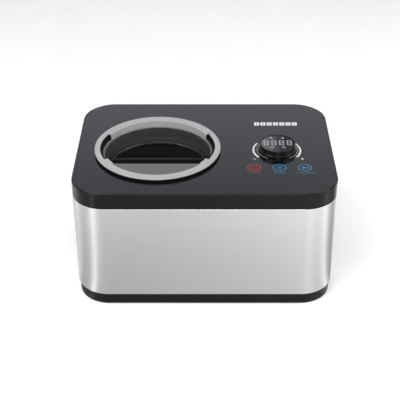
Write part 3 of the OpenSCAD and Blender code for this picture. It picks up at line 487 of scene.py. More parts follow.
def blank_material(name, **constants):
    """A material with one Principled shader whose plain values are set on its sockets."""
    material = bpy.data.materials.new(name)
    material.use_nodes = True
    tree = material.node_tree
    shader = next(n for n in tree.nodes if n.type == "BSDF_PRINCIPLED")
    for label, value in constants.items():
        shader.inputs[label.replace("_", " ")].default_value = value
    return material, tree, shader


def place_group(tree, name, **values):
    node = tree.nodes.new("ShaderNodeGroup")
    node.node_tree = shared(name)
    for label, value in values.items():
        node.inputs[label].default_value = value
    return node


def tint(tree, mask, first, second):
    """Mixes two colours by a mask that changes over the surface."""
    mix = tree.nodes.new("ShaderNodeMix")
    mix.data_type = "RGBA"
    tree.links.new(mask, mix.inputs["Factor"])
    mix.inputs["A"].default_value = first
    mix.inputs["B"].default_value = second
    return mix.outputs["Result"]


def emboss(tree, shader, height, distance, strength=1.0):
    bump = tree.nodes.new("ShaderNodeBump")
    bump.inputs["Distance"].default_value = distance
    bump.inputs["Strength"].default_value = strength
    tree.links.new(height, bump.inputs["Height"])
    tree.links.new(bump.outputs["Normal"], shader.inputs["Normal"])


def shade(colour, factor):
    return tuple(min(1.0, c * factor) for c in colour[:3]) + (1.0,)


def moulded(name, colour, smooth, rough, scale=900.0, relief=0.00001, rub=0.25, **constants):
    """Moulded plastic or rubber: fine grain, slow tone and slightly rubbed edges."""
    material, tree, shader = blank_material(name, **constants)
    grain = place_group(tree, "grain", Scale=scale, Smooth=smooth, Rough=rough)
    wear = place_group(tree, "rub", Amount=rub)
    base = tint(tree, grain.outputs["Tone"], shade(colour, 0.93), shade(colour, 1.07))
    worn = tree.nodes.new("ShaderNodeMix")
    worn.data_type = "RGBA"
    tree.links.new(wear.outputs["Mask"], worn.inputs["Factor"])
    tree.links.new(base, worn.inputs["A"])
    worn.inputs["B"].default_value = shade(colour, 2.2)
    tree.links.new(worn.outputs["Result"], shader.inputs["Base Color"])
    tree.links.new(grain.outputs["Roughness"], shader.inputs["Roughness"])
    if relief:
        emboss(tree, shader, grain.outputs["Height"], relief)
    return material


def brushed(name, colour, smooth, rough, lines=1400.0, stretch=0.012, relief=0.000004,
            metal=1.0, **constants):
    """Brushed metal: level streaks in roughness, height and tone."""
    material, tree, shader = blank_material(name, Metallic=metal, **constants)
    brush = place_group(tree, "brush", Lines=lines, Stretch=stretch, Smooth=smooth, Rough=rough)
    base = tint(tree, brush.outputs["Tone"], shade(colour, 0.96), shade(colour, 1.03))
    tree.links.new(base, shader.inputs["Base Color"])
    tree.links.new(brush.outputs["Roughness"], shader.inputs["Roughness"])
    emboss(tree, shader, brush.outputs["Height"], relief)
    return material


def cellular(name, colour, scale, relief, rough):
    """Foam: small closed cells that dent the surface."""
    material, tree, shader = blank_material(name, Roughness=rough)
    place = tree.nodes.new("ShaderNodeTexCoord")
    cells = tree.nodes.new("ShaderNodeTexVoronoi")
    cells.inputs["Scale"].default_value = scale
    tree.links.new(place.outputs["Object"], cells.inputs["Vector"])
    base = tint(tree, cells.outputs["Distance"], shade(colour, 1.05), shade(colour, 0.8))
    tree.links.new(base, shader.inputs["Base Color"])
    emboss(tree, shader, cells.outputs["Distance"], relief)
    return material


def speckled(name, colour, fleck, scale, smooth, rough, **constants):
    """Near-black colour with fine pale flecks; the near-black is painted shade for the inside of the
    bowl.
    """
    material, tree, shader = blank_material(name, **constants)
    grain = place_group(tree, "grain", Scale=700.0, Smooth=smooth, Rough=rough)
    place = tree.nodes.new("ShaderNodeTexCoord")
    dots = tree.nodes.new("ShaderNodeTexVoronoi")
    dots.inputs["Scale"].default_value = scale
    tree.links.new(place.outputs["Object"], dots.inputs["Vector"])
    mask = tree.nodes.new("ShaderNodeMapRange")
    mask.inputs["From Min"].default_value = 0.16
    mask.inputs["From Max"].default_value = 0.08
    tree.links.new(dots.outputs["Distance"], mask.inputs["Value"])
    base = tint(tree, mask.outputs["Result"], colour, fleck)
    tree.links.new(base, shader.inputs["Base Color"])
    tree.links.new(grain.outputs["Roughness"], shader.inputs["Roughness"])
    emboss(tree, shader, grain.outputs["Height"], 0.000006)
    return material


def laminate(name, colour, track):
    """A circuit board: dark lacquer with finer, paler tracks."""
    material, tree, shader = blank_material(name, Roughness=0.35)
    place = tree.nodes.new("ShaderNodeTexCoord")
    bricks = tree.nodes.new("ShaderNodeTexBrick")
    bricks.inputs["Scale"].default_value = 60
    bricks.inputs["Mortar Size"].default_value = 0.03
    bricks.inputs["Color1"].default_value = colour
    bricks.inputs["Color2"].default_value = shade(colour, 1.15)
    bricks.inputs["Mortar"].default_value = track
    tree.links.new(place.outputs["Object"], bricks.inputs["Vector"])
    tree.links.new(bricks.outputs["Color"], shader.inputs["Base Color"])
    return material


def smoked(name, sheen_colour, dark):
    """A smoked display window with a painted reflection: its colour is lighter towards its left side.
    """
    material, tree, shader = blank_material(name, Specular_IOR_Level=0.15)
    grain = place_group(tree, "grain", Scale=200.0, Smooth=0.05, Rough=0.1)
    place = tree.nodes.new("ShaderNodeTexCoord")
    apart = tree.nodes.new("ShaderNodeSeparateXYZ")
    tree.links.new(place.outputs["Object"], apart.inputs[0])
    # Painted reflection: the colour runs from a lighter sheen at the left to the window's own dark at
    # the right.
    sheen_side, sheen_end = -28 * MM, 12 * MM
    painted_sheen = tree.nodes.new("ShaderNodeMapRange")
    painted_sheen.interpolation_type = "SMOOTHSTEP"
    painted_sheen.inputs["From Min"].default_value = DIAL.x + sheen_side
    painted_sheen.inputs["From Max"].default_value = DIAL.x + sheen_end
    tree.links.new(apart.outputs[0], painted_sheen.inputs["Value"])
    tree.links.new(tint(tree, painted_sheen.outputs["Result"], sheen_colour, dark), shader.inputs["Base Color"])
    tree.links.new(grain.outputs["Roughness"], shader.inputs["Roughness"])
    return material


def printed(name, colour, glow=0.0):
    """Screen-printed ink, with a little light behind the display's marks. It also colours painted
    light: the faint glow of the panel's inks, the tinted key glows and the pale seat highlight.
    """
    material, tree, shader = blank_material(name, Emission_Strength=glow)
    grain = place_group(tree, "grain", Scale=1600.0, Smooth=0.35, Rough=0.5)
    base = tint(tree, grain.outputs["Tone"], shade(colour, 0.94), shade(colour, 1.04))
    tree.links.new(base, shader.inputs["Base Color"])
    tree.links.new(grain.outputs["Roughness"], shader.inputs["Roughness"])
    if glow:
        tree.links.new(base, shader.inputs["Emission Color"])
    return material


def make_finishes():
    """One material for each of the record's slots, and the printed inks."""
    look = bpy.context.scene.ice_finish
    black = tuple(look.band)
    dark = (0.016, 0.016, 0.017, 1)
    metal = (0.52, 0.53, 0.54, 1)
    return {
        "base_plastic": moulded("base_plastic", black, 0.32, 0.42, Specular_IOR_Level=0.17),
        "band_plastic": moulded("band_plastic", black, 0.16, 0.24, 300.0, 0.0, rub=0.15,
                                Specular_IOR_Level=0.17),
        "panel_gloss": moulded("panel_gloss", tuple(look.panel), 0.10, 0.15, 200.0, 0.0, rub=0.1),
        "foot_rubber": moulded("foot_rubber", (0.02, 0.02, 0.02, 1), 0.7, 0.9, 500.0, 0.00004),
        "frame_plastic": moulded("frame_plastic", dark, 0.42, 0.55, 700.0, 0.00002),
        "pale_plastic": moulded("pale_plastic", (0.68, 0.68, 0.65, 1), 0.4, 0.5),
        "lid_grey": moulded("lid_grey", tuple(look.lid), 0.30, 0.38, 1100.0, 0.000004, rub=0.1,
                            Coat_Weight=0.15, Coat_Roughness=0.2),
        "plate_grey": moulded("plate_grey", tuple(look.plate), 0.45, 0.55, 1000.0, 0.000008, rub=0.1),
        "seal_rubber": moulded("seal_rubber", (0.18, 0.18, 0.185, 1), 0.6, 0.75, 600.0, 0.00002),
        "paddle_plastic": moulded("paddle_plastic", (0.009, 0.009, 0.01, 1), 0.45, 0.55,
                                  rub=0.1, Specular_IOR_Level=0.25),
        "gear_nylon": moulded("gear_nylon", (0.72, 0.69, 0.6, 1), 0.4, 0.5,
                              Subsurface_Weight=0.05),
        "black_paint": moulded("black_paint", (0.01, 0.01, 0.011, 1), 0.25, 0.4, 250.0, 0.00003),
        "dial_gloss": moulded("dial_gloss", (0.003, 0.003, 0.0035, 1), 0.12, 0.2, 300.0, 0.0,
                              rub=0.15, Specular_IOR_Level=0.25),
        # The display window's lighter left side is a painted reflection.
        "display_gloss": smoked("display_gloss", (0.085, 0.087, 0.09, 1), (0.002, 0.002, 0.003, 1)),
        "brushed_wrap": brushed("brushed_wrap", tuple(look.steel), 0.24, 0.34,
                                lines=2600.0, stretch=0.03, Anisotropic=0.6),
        "brushed_collar": brushed("brushed_collar", (0.43, 0.43, 0.435, 1), 0.3, 0.45, 900.0,
                                  metal=0.94, Anisotropic=0.75),
        "zinc_steel": brushed("zinc_steel", metal, 0.28, 0.42, 500.0, 0.3),
        "drum_aluminium": brushed("drum_aluminium", (0.66, 0.67, 0.69, 1), 0.3, 0.45, 700.0),
        # The bail's near-black colour is painted shade: it dims the wire's reflections inside the
        # bowl.
        "bail_steel": brushed("bail_steel", (0.06, 0.06, 0.062, 1), 0.35, 0.5, 600.0, 0.2),
        "copper_tube": brushed("copper_tube", (0.62, 0.27, 0.14, 1), 0.25, 0.45, 260.0, 0.6),
        "contact_brass": brushed("contact_brass", (0.66, 0.5, 0.2, 1), 0.25, 0.4, 500.0, 0.5),
        "pu_foam": cellular("pu_foam", (0.74, 0.64, 0.38, 1), 420.0, 0.0006, 0.85),
        # The bowl's near-black colour is painted shade for its shaded inside; the pale flecks are a
        # pattern.
        "bowl_coated": speckled("bowl_coated", (0.010, 0.010, 0.011, 1), (0.04, 0.04, 0.042, 1),
                                500.0, 0.45, 0.6, Specular_IOR_Level=0.2),
        "circuit_board": laminate("circuit_board", (0.012, 0.09, 0.04, 1), (0.05, 0.25, 0.1, 1)),
        # Painted light: the panel inks are given a faint glow of their own.
        "white_ink": printed("white_ink", tuple(look.white), 0.05),
        "red_ink": printed("red_ink", tuple(look.red), 0.03),
        "blue_ink": printed("blue_ink", tuple(look.blue), 0.03),
        # Painted glow: dim tinted colour for the discs inside the key rings, with no light of their
        # own.
        "red_glow": printed("red_glow", shade(look.red, 0.06)),
        "blue_glow": printed("blue_glow", shade(look.blue, 0.06)),
        "rim_black": moulded("rim_black", (0.003, 0.003, 0.003, 1), 0.5, 0.6, rub=0.0,
                             Specular_IOR_Level=0.1),
        # Pale grey for the painted highlight beside the dial's foot.
        "seat_highlight_colour": printed("seat_highlight_colour", (0.3, 0.3, 0.31, 1)),
        "display_light": printed("display_light", (0.24, 0.25, 0.26, 1), 0.2),
    }


FINISHES = {}


def finish_named(name):
    if not FINISHES:
        FINISHES.update(make_finishes())
    return FINISHES[name]


def build(name, bm, slot, body="cabinet", nodes=(), cuts=(), finish=None, **shading):
    """Turns a finished bmesh into a piece of the machine."""
    piece = plain_object(name, bm)
    for cutter in cuts:
        cut_away(piece, cutter)
    return finish_piece(piece, finish_named(finish or slot), body, slot, nodes, **shading)


def node_copy(node):
    """A welded copy of a CAD node's mesh, with flat areas joined into single faces."""
    bm = bmesh.new()
    bm.from_mesh(frame["nodes"][node].data)
    weld(bm)
    bmesh.ops.dissolve_limit(bm, angle_limit=math.radians(0.4), verts=bm.verts, edges=bm.edges,
                             delimit={"NORMAL"})
    return bm


def soft_node(name, node, slot, body, bevel, **shading):
    """A CAD node's own shape with its edges rounded."""
    return build(name, node_copy(node), slot, body, (node,), bevel=bevel, **shading)


def keep_node(node):
    """A CAD node that keeps its mesh and takes its slot's finish."""
    mesh = frame["nodes"][node].data
    slot = next(p for p in frame["record"]["subparts"] if p["node"] == node)["material_slot"]
    mesh.materials.clear()
    mesh.materials.append(finish_named(slot))


# ---------- Cabinet ----------

class ICE_OT_base(bpy.types.Operator):
    """Build the black base with its softened lower edge"""
    bl_idname = "ice.base"
    bl_label = "Base and feet"

    def execute(self, context):
        edge = context.scene.ice_cabinet.soft_edge
        soft_node("base_shell", "base_tray", "base_plastic", "cabinet", edge)
        soft_node("feet", "rubber_feet", "foot_rubber", "cabinet", edge)
        return {"FINISHED"}


class ICE_OT_wrap(bpy.types.Operator):
    """Build the brushed steel wrap with its hems and its windows"""
    bl_idname = "ice.wrap"
    bl_label = "Steel wrap"

    def execute(self, context):
        look = context.scene.ice_cabinet
        bottom, top = low("steel_wrap").z / MM, high("steel_wrap").z / MM
        hem, sheet = 5.8, 0.8
        profile = (arc((sheet, bottom + sheet), sheet, 180, 270, 4) + [(hem, bottom)]
                   + [(hem, bottom + sheet), (sheet, bottom + sheet)]
                   + [(sheet, top - sheet), (hem, top - sheet), (hem, top)]
                   + arc((sheet, top - sheet), sheet, 90, 180, 4))
        bm = bmesh.new()
        sweep_outline(bm, millimetres(profile), look.corner, look.corner_steps)
        windows = bmesh.new()
        grille_low, grille_high = low("left_grille"), high("right_grille")
        gap = 0.3 * MM
        block(windows, (low("steel_wrap").x - gap, grille_low.y - gap, grille_low.z - gap),
              (high("steel_wrap").x + gap, grille_high.y + gap, grille_high.z + gap))
        inlet_low, inlet_high = low("power_inlet"), high("power_inlet")
        cut_start, cut_end = 120 * MM, 150 * MM
        block(windows, (inlet_low.x - gap, cut_start, inlet_low.z - gap),
              (inlet_high.x + gap, cut_end, inlet_high.z + gap))
        build("steel_skin", bm, "brushed_wrap", "cabinet", ("steel_wrap",), (windows,), sharp=50)
        return {"FINISHED"}


class ICE_OT_top(bpy.types.Operator):
    """Build the black band with its rounded rim, and the gloss panel with its two holes"""
    bl_idname = "ice.top"
    bl_label = "Band and top panel"

    def execute(self, context):
        look = context.scene.ice_cabinet
        steps = context.scene.ice_lid.steps
        bottom = high("steel_wrap").z / MM
        top, deck = PANEL_TOP / MM, low("top_panel").z / MM
        rim, wall, chamfer = 1.2, 2.5, 0.3
        profile = ([(wall, deck - wall), (wall, bottom), (chamfer, bottom), (0, bottom + chamfer)]
                   + arc((rim, top - rim), rim, 180, 96, 8) + [(rim, deck)])
        bm = bmesh.new()
        sweep_outline(bm, millimetres(profile), look.corner, look.corner_steps, closed=False)
        fill_open_loops(bm)
        build("top_band", bm, "band_plastic", "cabinet", ("top_frame",),
              (self.holes(steps),), sharp=30)
        start, edge = rim + 0.3, 0.6
        profile = ([(start, deck), (start, top - edge)]
                   + arc((start + edge, top - edge), edge, 180, 90, 5))
        bm = bmesh.new()
        sweep_outline(bm, millimetres(profile), look.corner, look.corner_steps, closed=False)
        fill_open_loops(bm)
        build("gloss_panel", bm, "panel_gloss", "cabinet", ("top_panel",),
              (self.holes(steps),), sharp=30)
        return {"FINISHED"}

    def holes(self, steps):
        """The cutter for the bowl's and the dial's holes."""
        cut_low, cut_high = 180 * MM, 210 * MM
        bowl_hole, dial_hole = 84.5 * MM, 24.4 * MM
        cutter = bmesh.new()
        drum(cutter, BOWL, bowl_hole, cut_low, cut_high, steps)
        drum(cutter, DIAL, dial_hole, cut_low, cut_high, steps)
        return cutter


class ICE_OT_sides(bpy.types.Operator):
    """Build the louvred side grilles and the mains inlet"""
    bl_idname = "ice.sides"
    bl_label = "Grilles and inlet"

    def execute(self, context):
        look = context.scene.ice_cabinet
        for side, node in ((1, "right_grille"), (-1, "left_grille")):
            self.grille(look, side, node)
        soft_node("inlet_block", "power_inlet", "frame_plastic", "cabinet", look.soft_edge)
        soft_node("inlet_prongs", "inlet_pins", "contact_brass", "cabinet", 0.3 * MM)
        return {"FINISHED"}

    def grille(self, look, side, node):
        """One grille: a frame with a middle bar and slats that lean outward."""
        lowest, highest = low(node), high(node)
        frame_bar, middle_bar = 6 * MM, 4 * MM
        bm = bmesh.new()
        block(bm, lowest, (highest.x, lowest.y + frame_bar, highest.z))
        block(bm, (lowest.x, highest.y - frame_bar, lowest.z), highest)
        inner_low, inner_high = lowest.y + frame_bar, highest.y - frame_bar
        centre = (inner_low + inner_high) / 2
        block(bm, (lowest.x, inner_low, lowest.z), (highest.x, inner_high, lowest.z + frame_bar))
        block(bm, (lowest.x, inner_low, highest.z - frame_bar), (highest.x, inner_high, highest.z))
        block(bm, (lowest.x, centre - middle_bar / 2, lowest.z + frame_bar),
              (highest.x, centre + middle_bar / 2, highest.z - frame_bar))
        pitch, thick, inset = 7 * MM, 1.5 * MM, 0.4 * MM
        count = int((highest.z - lowest.z - 2 * frame_bar) / pitch)
        lean = Matrix.Rotation(side * look.slat_tilt, 4, "Y")
        for row in range(count):
            z = lowest.z + frame_bar + pitch * (row + 0.5)
            block(bm, (lowest.x + inset, inner_low, z - thick / 2),
                  (highest.x - inset, inner_high, z + thick / 2), lean)
        build("louvres_right" if side > 0 else "louvres_left", bm, "frame_plastic", "cabinet",
              (node,), bevel=look.soft_edge)


# ---------- Lid ----------

class ICE_OT_lid(bpy.types.Operator):
    """Build the lid ring with its finger notches, its front plate and its black rim"""
    bl_idname = "ice.lid"
    bl_label = "Lid"

    def execute(self, context):
        look = context.scene.ice_lid
        ring_low = 199.6
        top, skirt = LID_TOP / MM, low("lid_ring").z / MM
        well, wall, outer = 80.5, 1.7, 94.8
        notch_outer, plate_seat, plate_r, plate_edge = 86.5, 83.1, 83.0, 50
        recess, sunk, slack = 2.4, 0.9, 0.1
        past = 2
        slope = look.slope_start / MM
        profile = ([(well, skirt), (well + wall, skirt), (well + wall, ring_low),
                    (outer - 0.4, ring_low), (outer, ring_low + 0.4)]
                   + arc((outer - 1.1, top - 1.25), 1.1, 0, 70, 6)
                   + arc((outer - slope, top - 3), 3, 80, 90, 3)
                   + arc((well + 0.7, top - 0.7), 0.7, 90, 180, 6))
        bm = bmesh.new()
        revolve(bm, millimetres(profile), BOWL, look.steps)
        notches = bmesh.new()
        cut = millimetres([(well - past, skirt - past), (notch_outer, skirt - past),
                           (notch_outer, top + past), (well - past, top + past)])
        for angle in (0, math.pi):
            sector(notches, cut, BOWL, angle, look.notch_half, 40)
        bmesh.ops.recalc_face_normals(notches, faces=notches.faces)
        build("ring", bm, "lid_grey", "lid", ("lid_ring",),
              (notches, self.segment(plate_seat, top - recess, top + past, plate_edge)),
              bevel=0.35 * MM, sharp=35)
        build("front_plate", self.segment(plate_r, top - recess, top - sunk, plate_edge + slack),
              "plate_grey", "lid", ("lid_plate",), bevel=0.3 * MM)
        soft_node("rim_base", "lid_base", "band_plastic", "lid", 0.25 * MM, finish="rim_black")
        return {"FINISHED"}

    def segment(self, radius, low_z, high_z, edge):
        """A closed slice of a disc, ahead of a straight edge."""
        reach = math.acos(edge / radius)
        steps = 60
        bm = bmesh.new()
        rim = []
        for i in range(steps + 1):
            angle = -math.pi / 2 - reach + 2 * reach * i / steps
            rim.append(bm.verts.new((BOWL.x + radius * MM * math.cos(angle),
                                     BOWL.y + radius * MM * math.sin(angle), low_z * MM)))
        face = bm.faces.new(rim)
        grown = bmesh.ops.extrude_face_region(bm, geom=[face])["geom"]
        bmesh.ops.translate(bm, verts=only(bmesh.types.BMVert, grown),
                            vec=(0, 0, (high_z - low_z) * MM))
        bmesh.ops.recalc_face_normals(bm, faces=bm.faces)
        return bm


class ICE_OT_bowl(bpy.types.Operator):
    """Build the collar, the bowl, the paddle and the bail's grip"""
    bl_idname = "ice.bowl"
    bl_label = "Collar, bowl and paddle"

    def execute(self, context):
        soft_node("collar_wall", "chamber_collar", "brushed_collar", "cabinet", 0.3 * MM)
        # Painted shade: a thin dark sheet laid on the collar wall where a slot shows dark.
        inner, outer, slot_low, slot_high = 79.85, 80.05, 178.8, 181.4
        slot = bmesh.new()
        sector(slot, millimetres([(inner, slot_low), (outer, slot_low), (outer, slot_high),
                                  (inner, slot_high)]),
               BOWL, math.radians(41), math.radians(3.4), 12)
        build("collar_slot_shade", slot, "frame_plastic")
        # The bowl's near-black finish is painted shade.
        soft_node("painted_shade_bowl", "bowl", "bowl_coated", "bowl_unit", 0.3 * MM)
        soft_node("stirrer", "paddle", "paddle_plastic", "paddle_unit", 0.9 * MM, segments=3)
        soft_node("bail_wire", "bowl_bail", "bail_steel", "bail", 0.2 * MM)
        soft_node("grip", "bail_grip", "paddle_plastic", "bail", 0.4 * MM)
        return {"FINISHED"}


# ---------- Dial and printed marks ----------

class ICE_OT_dial(bpy.types.Operator):
    """Build the dial with its turned-in crown, its gear and the display window"""
    bl_idname = "ice.dial"
    bl_label = "Dial and display window"

    def execute(self, context):
        steps = context.scene.ice_dial.steps
        foot, crown = PANEL_TOP / MM + 0.4, high("dial_ring").z / MM
        neck_in, neck_out, base_r, top_r, in_r = 21.9, 23.9, 28.8, 27.0, 25.5
        profile = ([(neck_in, foot), (neck_out, foot), (base_r - 0.5, foot)]
                   + arc((base_r - 0.5, foot + 0.5), 0.5, 270, 360, 4)
                   + arc((base_r - 0.9, foot + 2.3), 0.9, 0, 60, 5)
                   + [(base_r - 0.9, foot + 3.4)]
                   + arc((top_r - 0.8, crown - 0.8), 0.8, 10, 90, 6)
                   + arc((in_r + 0.25, crown - 0.25), 0.25, 90, 180, 3)
                   + [(in_r, foot + 2.6), (neck_in, foot + 2.6)])
        bm = bmesh.new()
        revolve(bm, millimetres(profile), DIAL, steps)
        build("dial_crown", bm, "dial_gloss", "dial", ("dial_ring",), sharp=30)
        gear = node_copy("dial_ring")
        cut = bmesh.ops.bisect_plane(gear, geom=gear.verts[:] + gear.edges[:] + gear.faces[:],
                                     plane_co=(0, 0, foot * MM), plane_no=(0, 0, 1),
                                     clear_outer=True)
        rim = only(bmesh.types.BMEdge, cut["geom_cut"])
        bmesh.ops.triangle_fill(gear, edges=rim, use_beauty=True)
        build("dial_gear", gear, "dial_gloss", "dial", ("dial_ring",), sharp=30)
        self.window(steps)
        return {"FINISHED"}

    def window(self, steps):
        """The smoked display window, flat on top with a chamfered edge."""
        lowest, highest = low("display_lens").z, LENS_TOP
        radius = (high("display_lens").x - low("display_lens").x) / 2
        profile = [(0.0, lowest), (radius, lowest), (radius, highest - 0.25 * MM),
                   (radius - 0.3 * MM, highest)]
        profile += [(radius * (1 - k / 6), highest) for k in range(1, 7)]
        bm = bmesh.new()
        revolve(bm, profile, DIAL, steps, closed=False)
        build("window", bm, "display_gloss", "cabinet", ("display_lens",), sharp=30)


class Ink:
    """Collects the flat marks of one ink on one surface."""

    def __init__(self, surface, thickness):
        self.bm = bmesh.new()
        self.low = surface
        self.high = surface + thickness

    def bar(self, x, y, width, depth):
        """A bar round a point of the machine, in metres."""
        block(self.bm, (x - width / 2, y - depth / 2, self.low),
              (x + width / 2, y + depth / 2, self.high))

    def ring(self, x, y, radius, width, middle_angle=0.0, half=math.pi, steps=48):
        """A ring or part of a ring round a point."""
        inner, outer = radius - width / 2, radius + width / 2
        profile = [(inner, self.low), (outer, self.low), (outer, self.high), (inner, self.high)]
        centre = Vector((x, y, 0))
        if half >= math.pi:
            revolve(self.bm, profile, centre, steps)
        else:
            sector(self.bm, profile, centre, middle_angle, half, steps)

    def triangle(self, x, y, radius, turn=0.0):
        """A solid triangle with one corner towards +X before it is turned."""
        place = Matrix.Translation((x, y, (self.low + self.high) / 2)) @ Matrix.Rotation(turn, 4, "Z")
        bmesh.ops.create_cone(self.bm, cap_ends=True, segments=3, radius1=radius, radius2=radius,
                              depth=self.high - self.low,
                              matrix=place @ Matrix.Rotation(-TAU / 4, 4, "Z"))

    def outline(self, x, y, width, depth, stroke):
        """A hollow rectangle."""
        for side in (-1, 1):
            self.bar(x, y + side * (depth - stroke) / 2, width, stroke)
            self.bar(x + side * (width - stroke) / 2, y, stroke, depth - 2 * stroke)


class ICE_OT_marks(bpy.types.Operator):
    """Print the arcs, the key marks and a generic bar mark on the panel"""
    bl_idname = "ice.marks"
    bl_label = "Panel marks"

    def execute(self, context):
        look = context.scene.ice_dial
        surface = PANEL_TOP
        white = Ink(surface, look.print_height)
        for angle in (0, math.pi):
            white.ring(DIAL.x - 0.8 * MM, DIAL.y - 1.8 * MM, look.arc_radius, look.arc_width, angle,
                       look.arc_half, 40)
        sign_x, sign_y = 35.6 * MM, DIAL.y - 28 * MM
        long, thick = 4.4 * MM, 1.1 * MM
        upright = (long - thick) / 2
        white.bar(DIAL.x - sign_x, sign_y, long, thick)
        white.bar(DIAL.x + sign_x, sign_y, long, thick)
        for side in (-1, 1):
            white.bar(DIAL.x + sign_x, sign_y + side * (thick + upright) / 2, thick, upright)
        self.bar_mark(white)
        build("white_marks", white.bm, "panel_gloss", finish="white_ink")

        key_y = DIAL.y - look.key_ahead
        red = Ink(surface, look.print_height)
        red_x = DIAL.x - look.key_pitch
        red.ring(red_x, key_y, look.key_radius, 1.5 * MM)
        red.ring(red_x, key_y, 4.2 * MM, 1.2 * MM, -math.pi / 2, math.radians(145), 28)
        red.bar(red_x, key_y + 3.6 * MM, 1.2 * MM, 4.4 * MM)
        self.label(red, red_x, key_y, 20)
        build("red_marks", red.bm, "panel_gloss", finish="red_ink")
        # Painted glow: dim tinted discs fill the key rings.
        for ink, places in (("red_glow", (-1,)), ("blue_glow", (0, 1))):
            glow = Ink(surface, look.print_height / 3)
            for place in places:
                drum(glow.bm, Vector((DIAL.x + place * look.key_pitch, key_y, 0)),
                     look.key_radius, glow.low, glow.high, 48)
            build(ink, glow.bm, "panel_gloss", finish=ink)

        blue = Ink(surface, look.print_height)
        blue.ring(DIAL.x, key_y, look.key_radius, 1.5 * MM)
        line, line_pitch = 1.4 * MM, 3.4 * MM
        for row in (-1, 0, 1):
            blue.bar(DIAL.x - 4.2 * MM, key_y + row * line_pitch, line, line)
            blue.bar(DIAL.x + 1.3 * MM, key_y + row * line_pitch, 6.6 * MM, line)
        self.label(blue, DIAL.x, key_y, 17)
        play_x = DIAL.x + look.key_pitch
        blue.ring(play_x, key_y, look.key_radius, 1.5 * MM)
        blue.triangle(play_x - 1.6 * MM, key_y, 4.6 * MM)
        blue.bar(play_x + 4.5 * MM, key_y, 1.5 * MM, 7.4 * MM)
        self.label(blue, play_x, key_y, 31)
        build("blue_marks", blue.bm, "panel_gloss", finish="blue_ink")

        # Painted highlight: two pale arcs on the panel at the left and right of the dial's foot.
        painted_seat_arcs = Ink(surface, look.print_height)
        for angle in (0, math.pi):
            painted_seat_arcs.ring(DIAL.x, DIAL.y, 30.6 * MM, 0.7 * MM, angle, math.radians(58), 48)
        build("dial_seat_highlight", painted_seat_arcs.bm, "panel_gloss", finish="seat_highlight_colour")
        return {"FINISHED"}

    def bar_mark(self, ink):
        """A row of plain hollow frames behind the dial."""
        count, pitch, aside = 7, 9.9 * MM, 2 * MM
        for k in range(count):
            ink.outline(DIAL.x + (k - (count - 1) / 2) * pitch + aside, 70 * MM,
                        7.8 * MM, 9.8 * MM, 2.8 * MM)

    def label(self, ink, x, key_y, width):
        """A row of short dashes below a key, about as wide as asked in millimetres."""
        pitch, below = 2.6, 14.6 * MM
        count = round(width / pitch)
        for k in range(count):
            ink.bar(x + (k - (count - 1) / 2) * pitch * MM, key_y - below, 1.5 * MM, 1.7 * MM)


class ICE_OT_digits(bpy.types.Operator):
    """Light the four seven-bar numerals and the small marks in the display"""
    bl_idname = "ice.digits"
    bl_label = "Display marks"

    def execute(self, context):
        look = context.scene.ice_dial
        light = Ink(LENS_TOP, look.print_height)
        width, depth, stroke, gap = 7.4 * MM, 14.6 * MM, 1.5 * MM, 0.35 * MM
        for k in range(4):
            x = DIAL.x + 0.3 * MM + (k - 1.5) * 11.6 * MM
            y = DIAL.y + 1.8 * MM
            for row in (-1, 0, 1):
                light.bar(x, y + row * (depth - stroke) / 2, width - 2 * stroke, stroke)
            for side in (-1, 1):
                for half in (-1, 1):
                    light.bar(x + side * (width - stroke) / 2,
                              y + half * depth / 4, stroke, depth / 2 - 2 * gap)
        for side in (-1, 1):
            light.triangle(DIAL.x + side * 8.8 * MM, DIAL.y + 16.6 * MM, 3.2 * MM, TAU / 4)
            light.ring(DIAL.x + side * 8.9 * MM, DIAL.y - 11.6 * MM, 2.2 * MM, 0.9 * MM, steps=32)
        build("display_marks", light.bm, "display_gloss", finish="display_light")
        return {"FINISHED"}


class ICE_OT_inside(bpy.types.Operator):
    """Give every part of the frame that keeps its own shape the finish of its slot"""
    bl_idname = "ice.inside"
    bl_label = "Inside parts"

    def execute(self, context):
        for node in frame["nodes"]:
            keep_node(node)
        return {"FINISHED"}


# ---------- Stage ----------

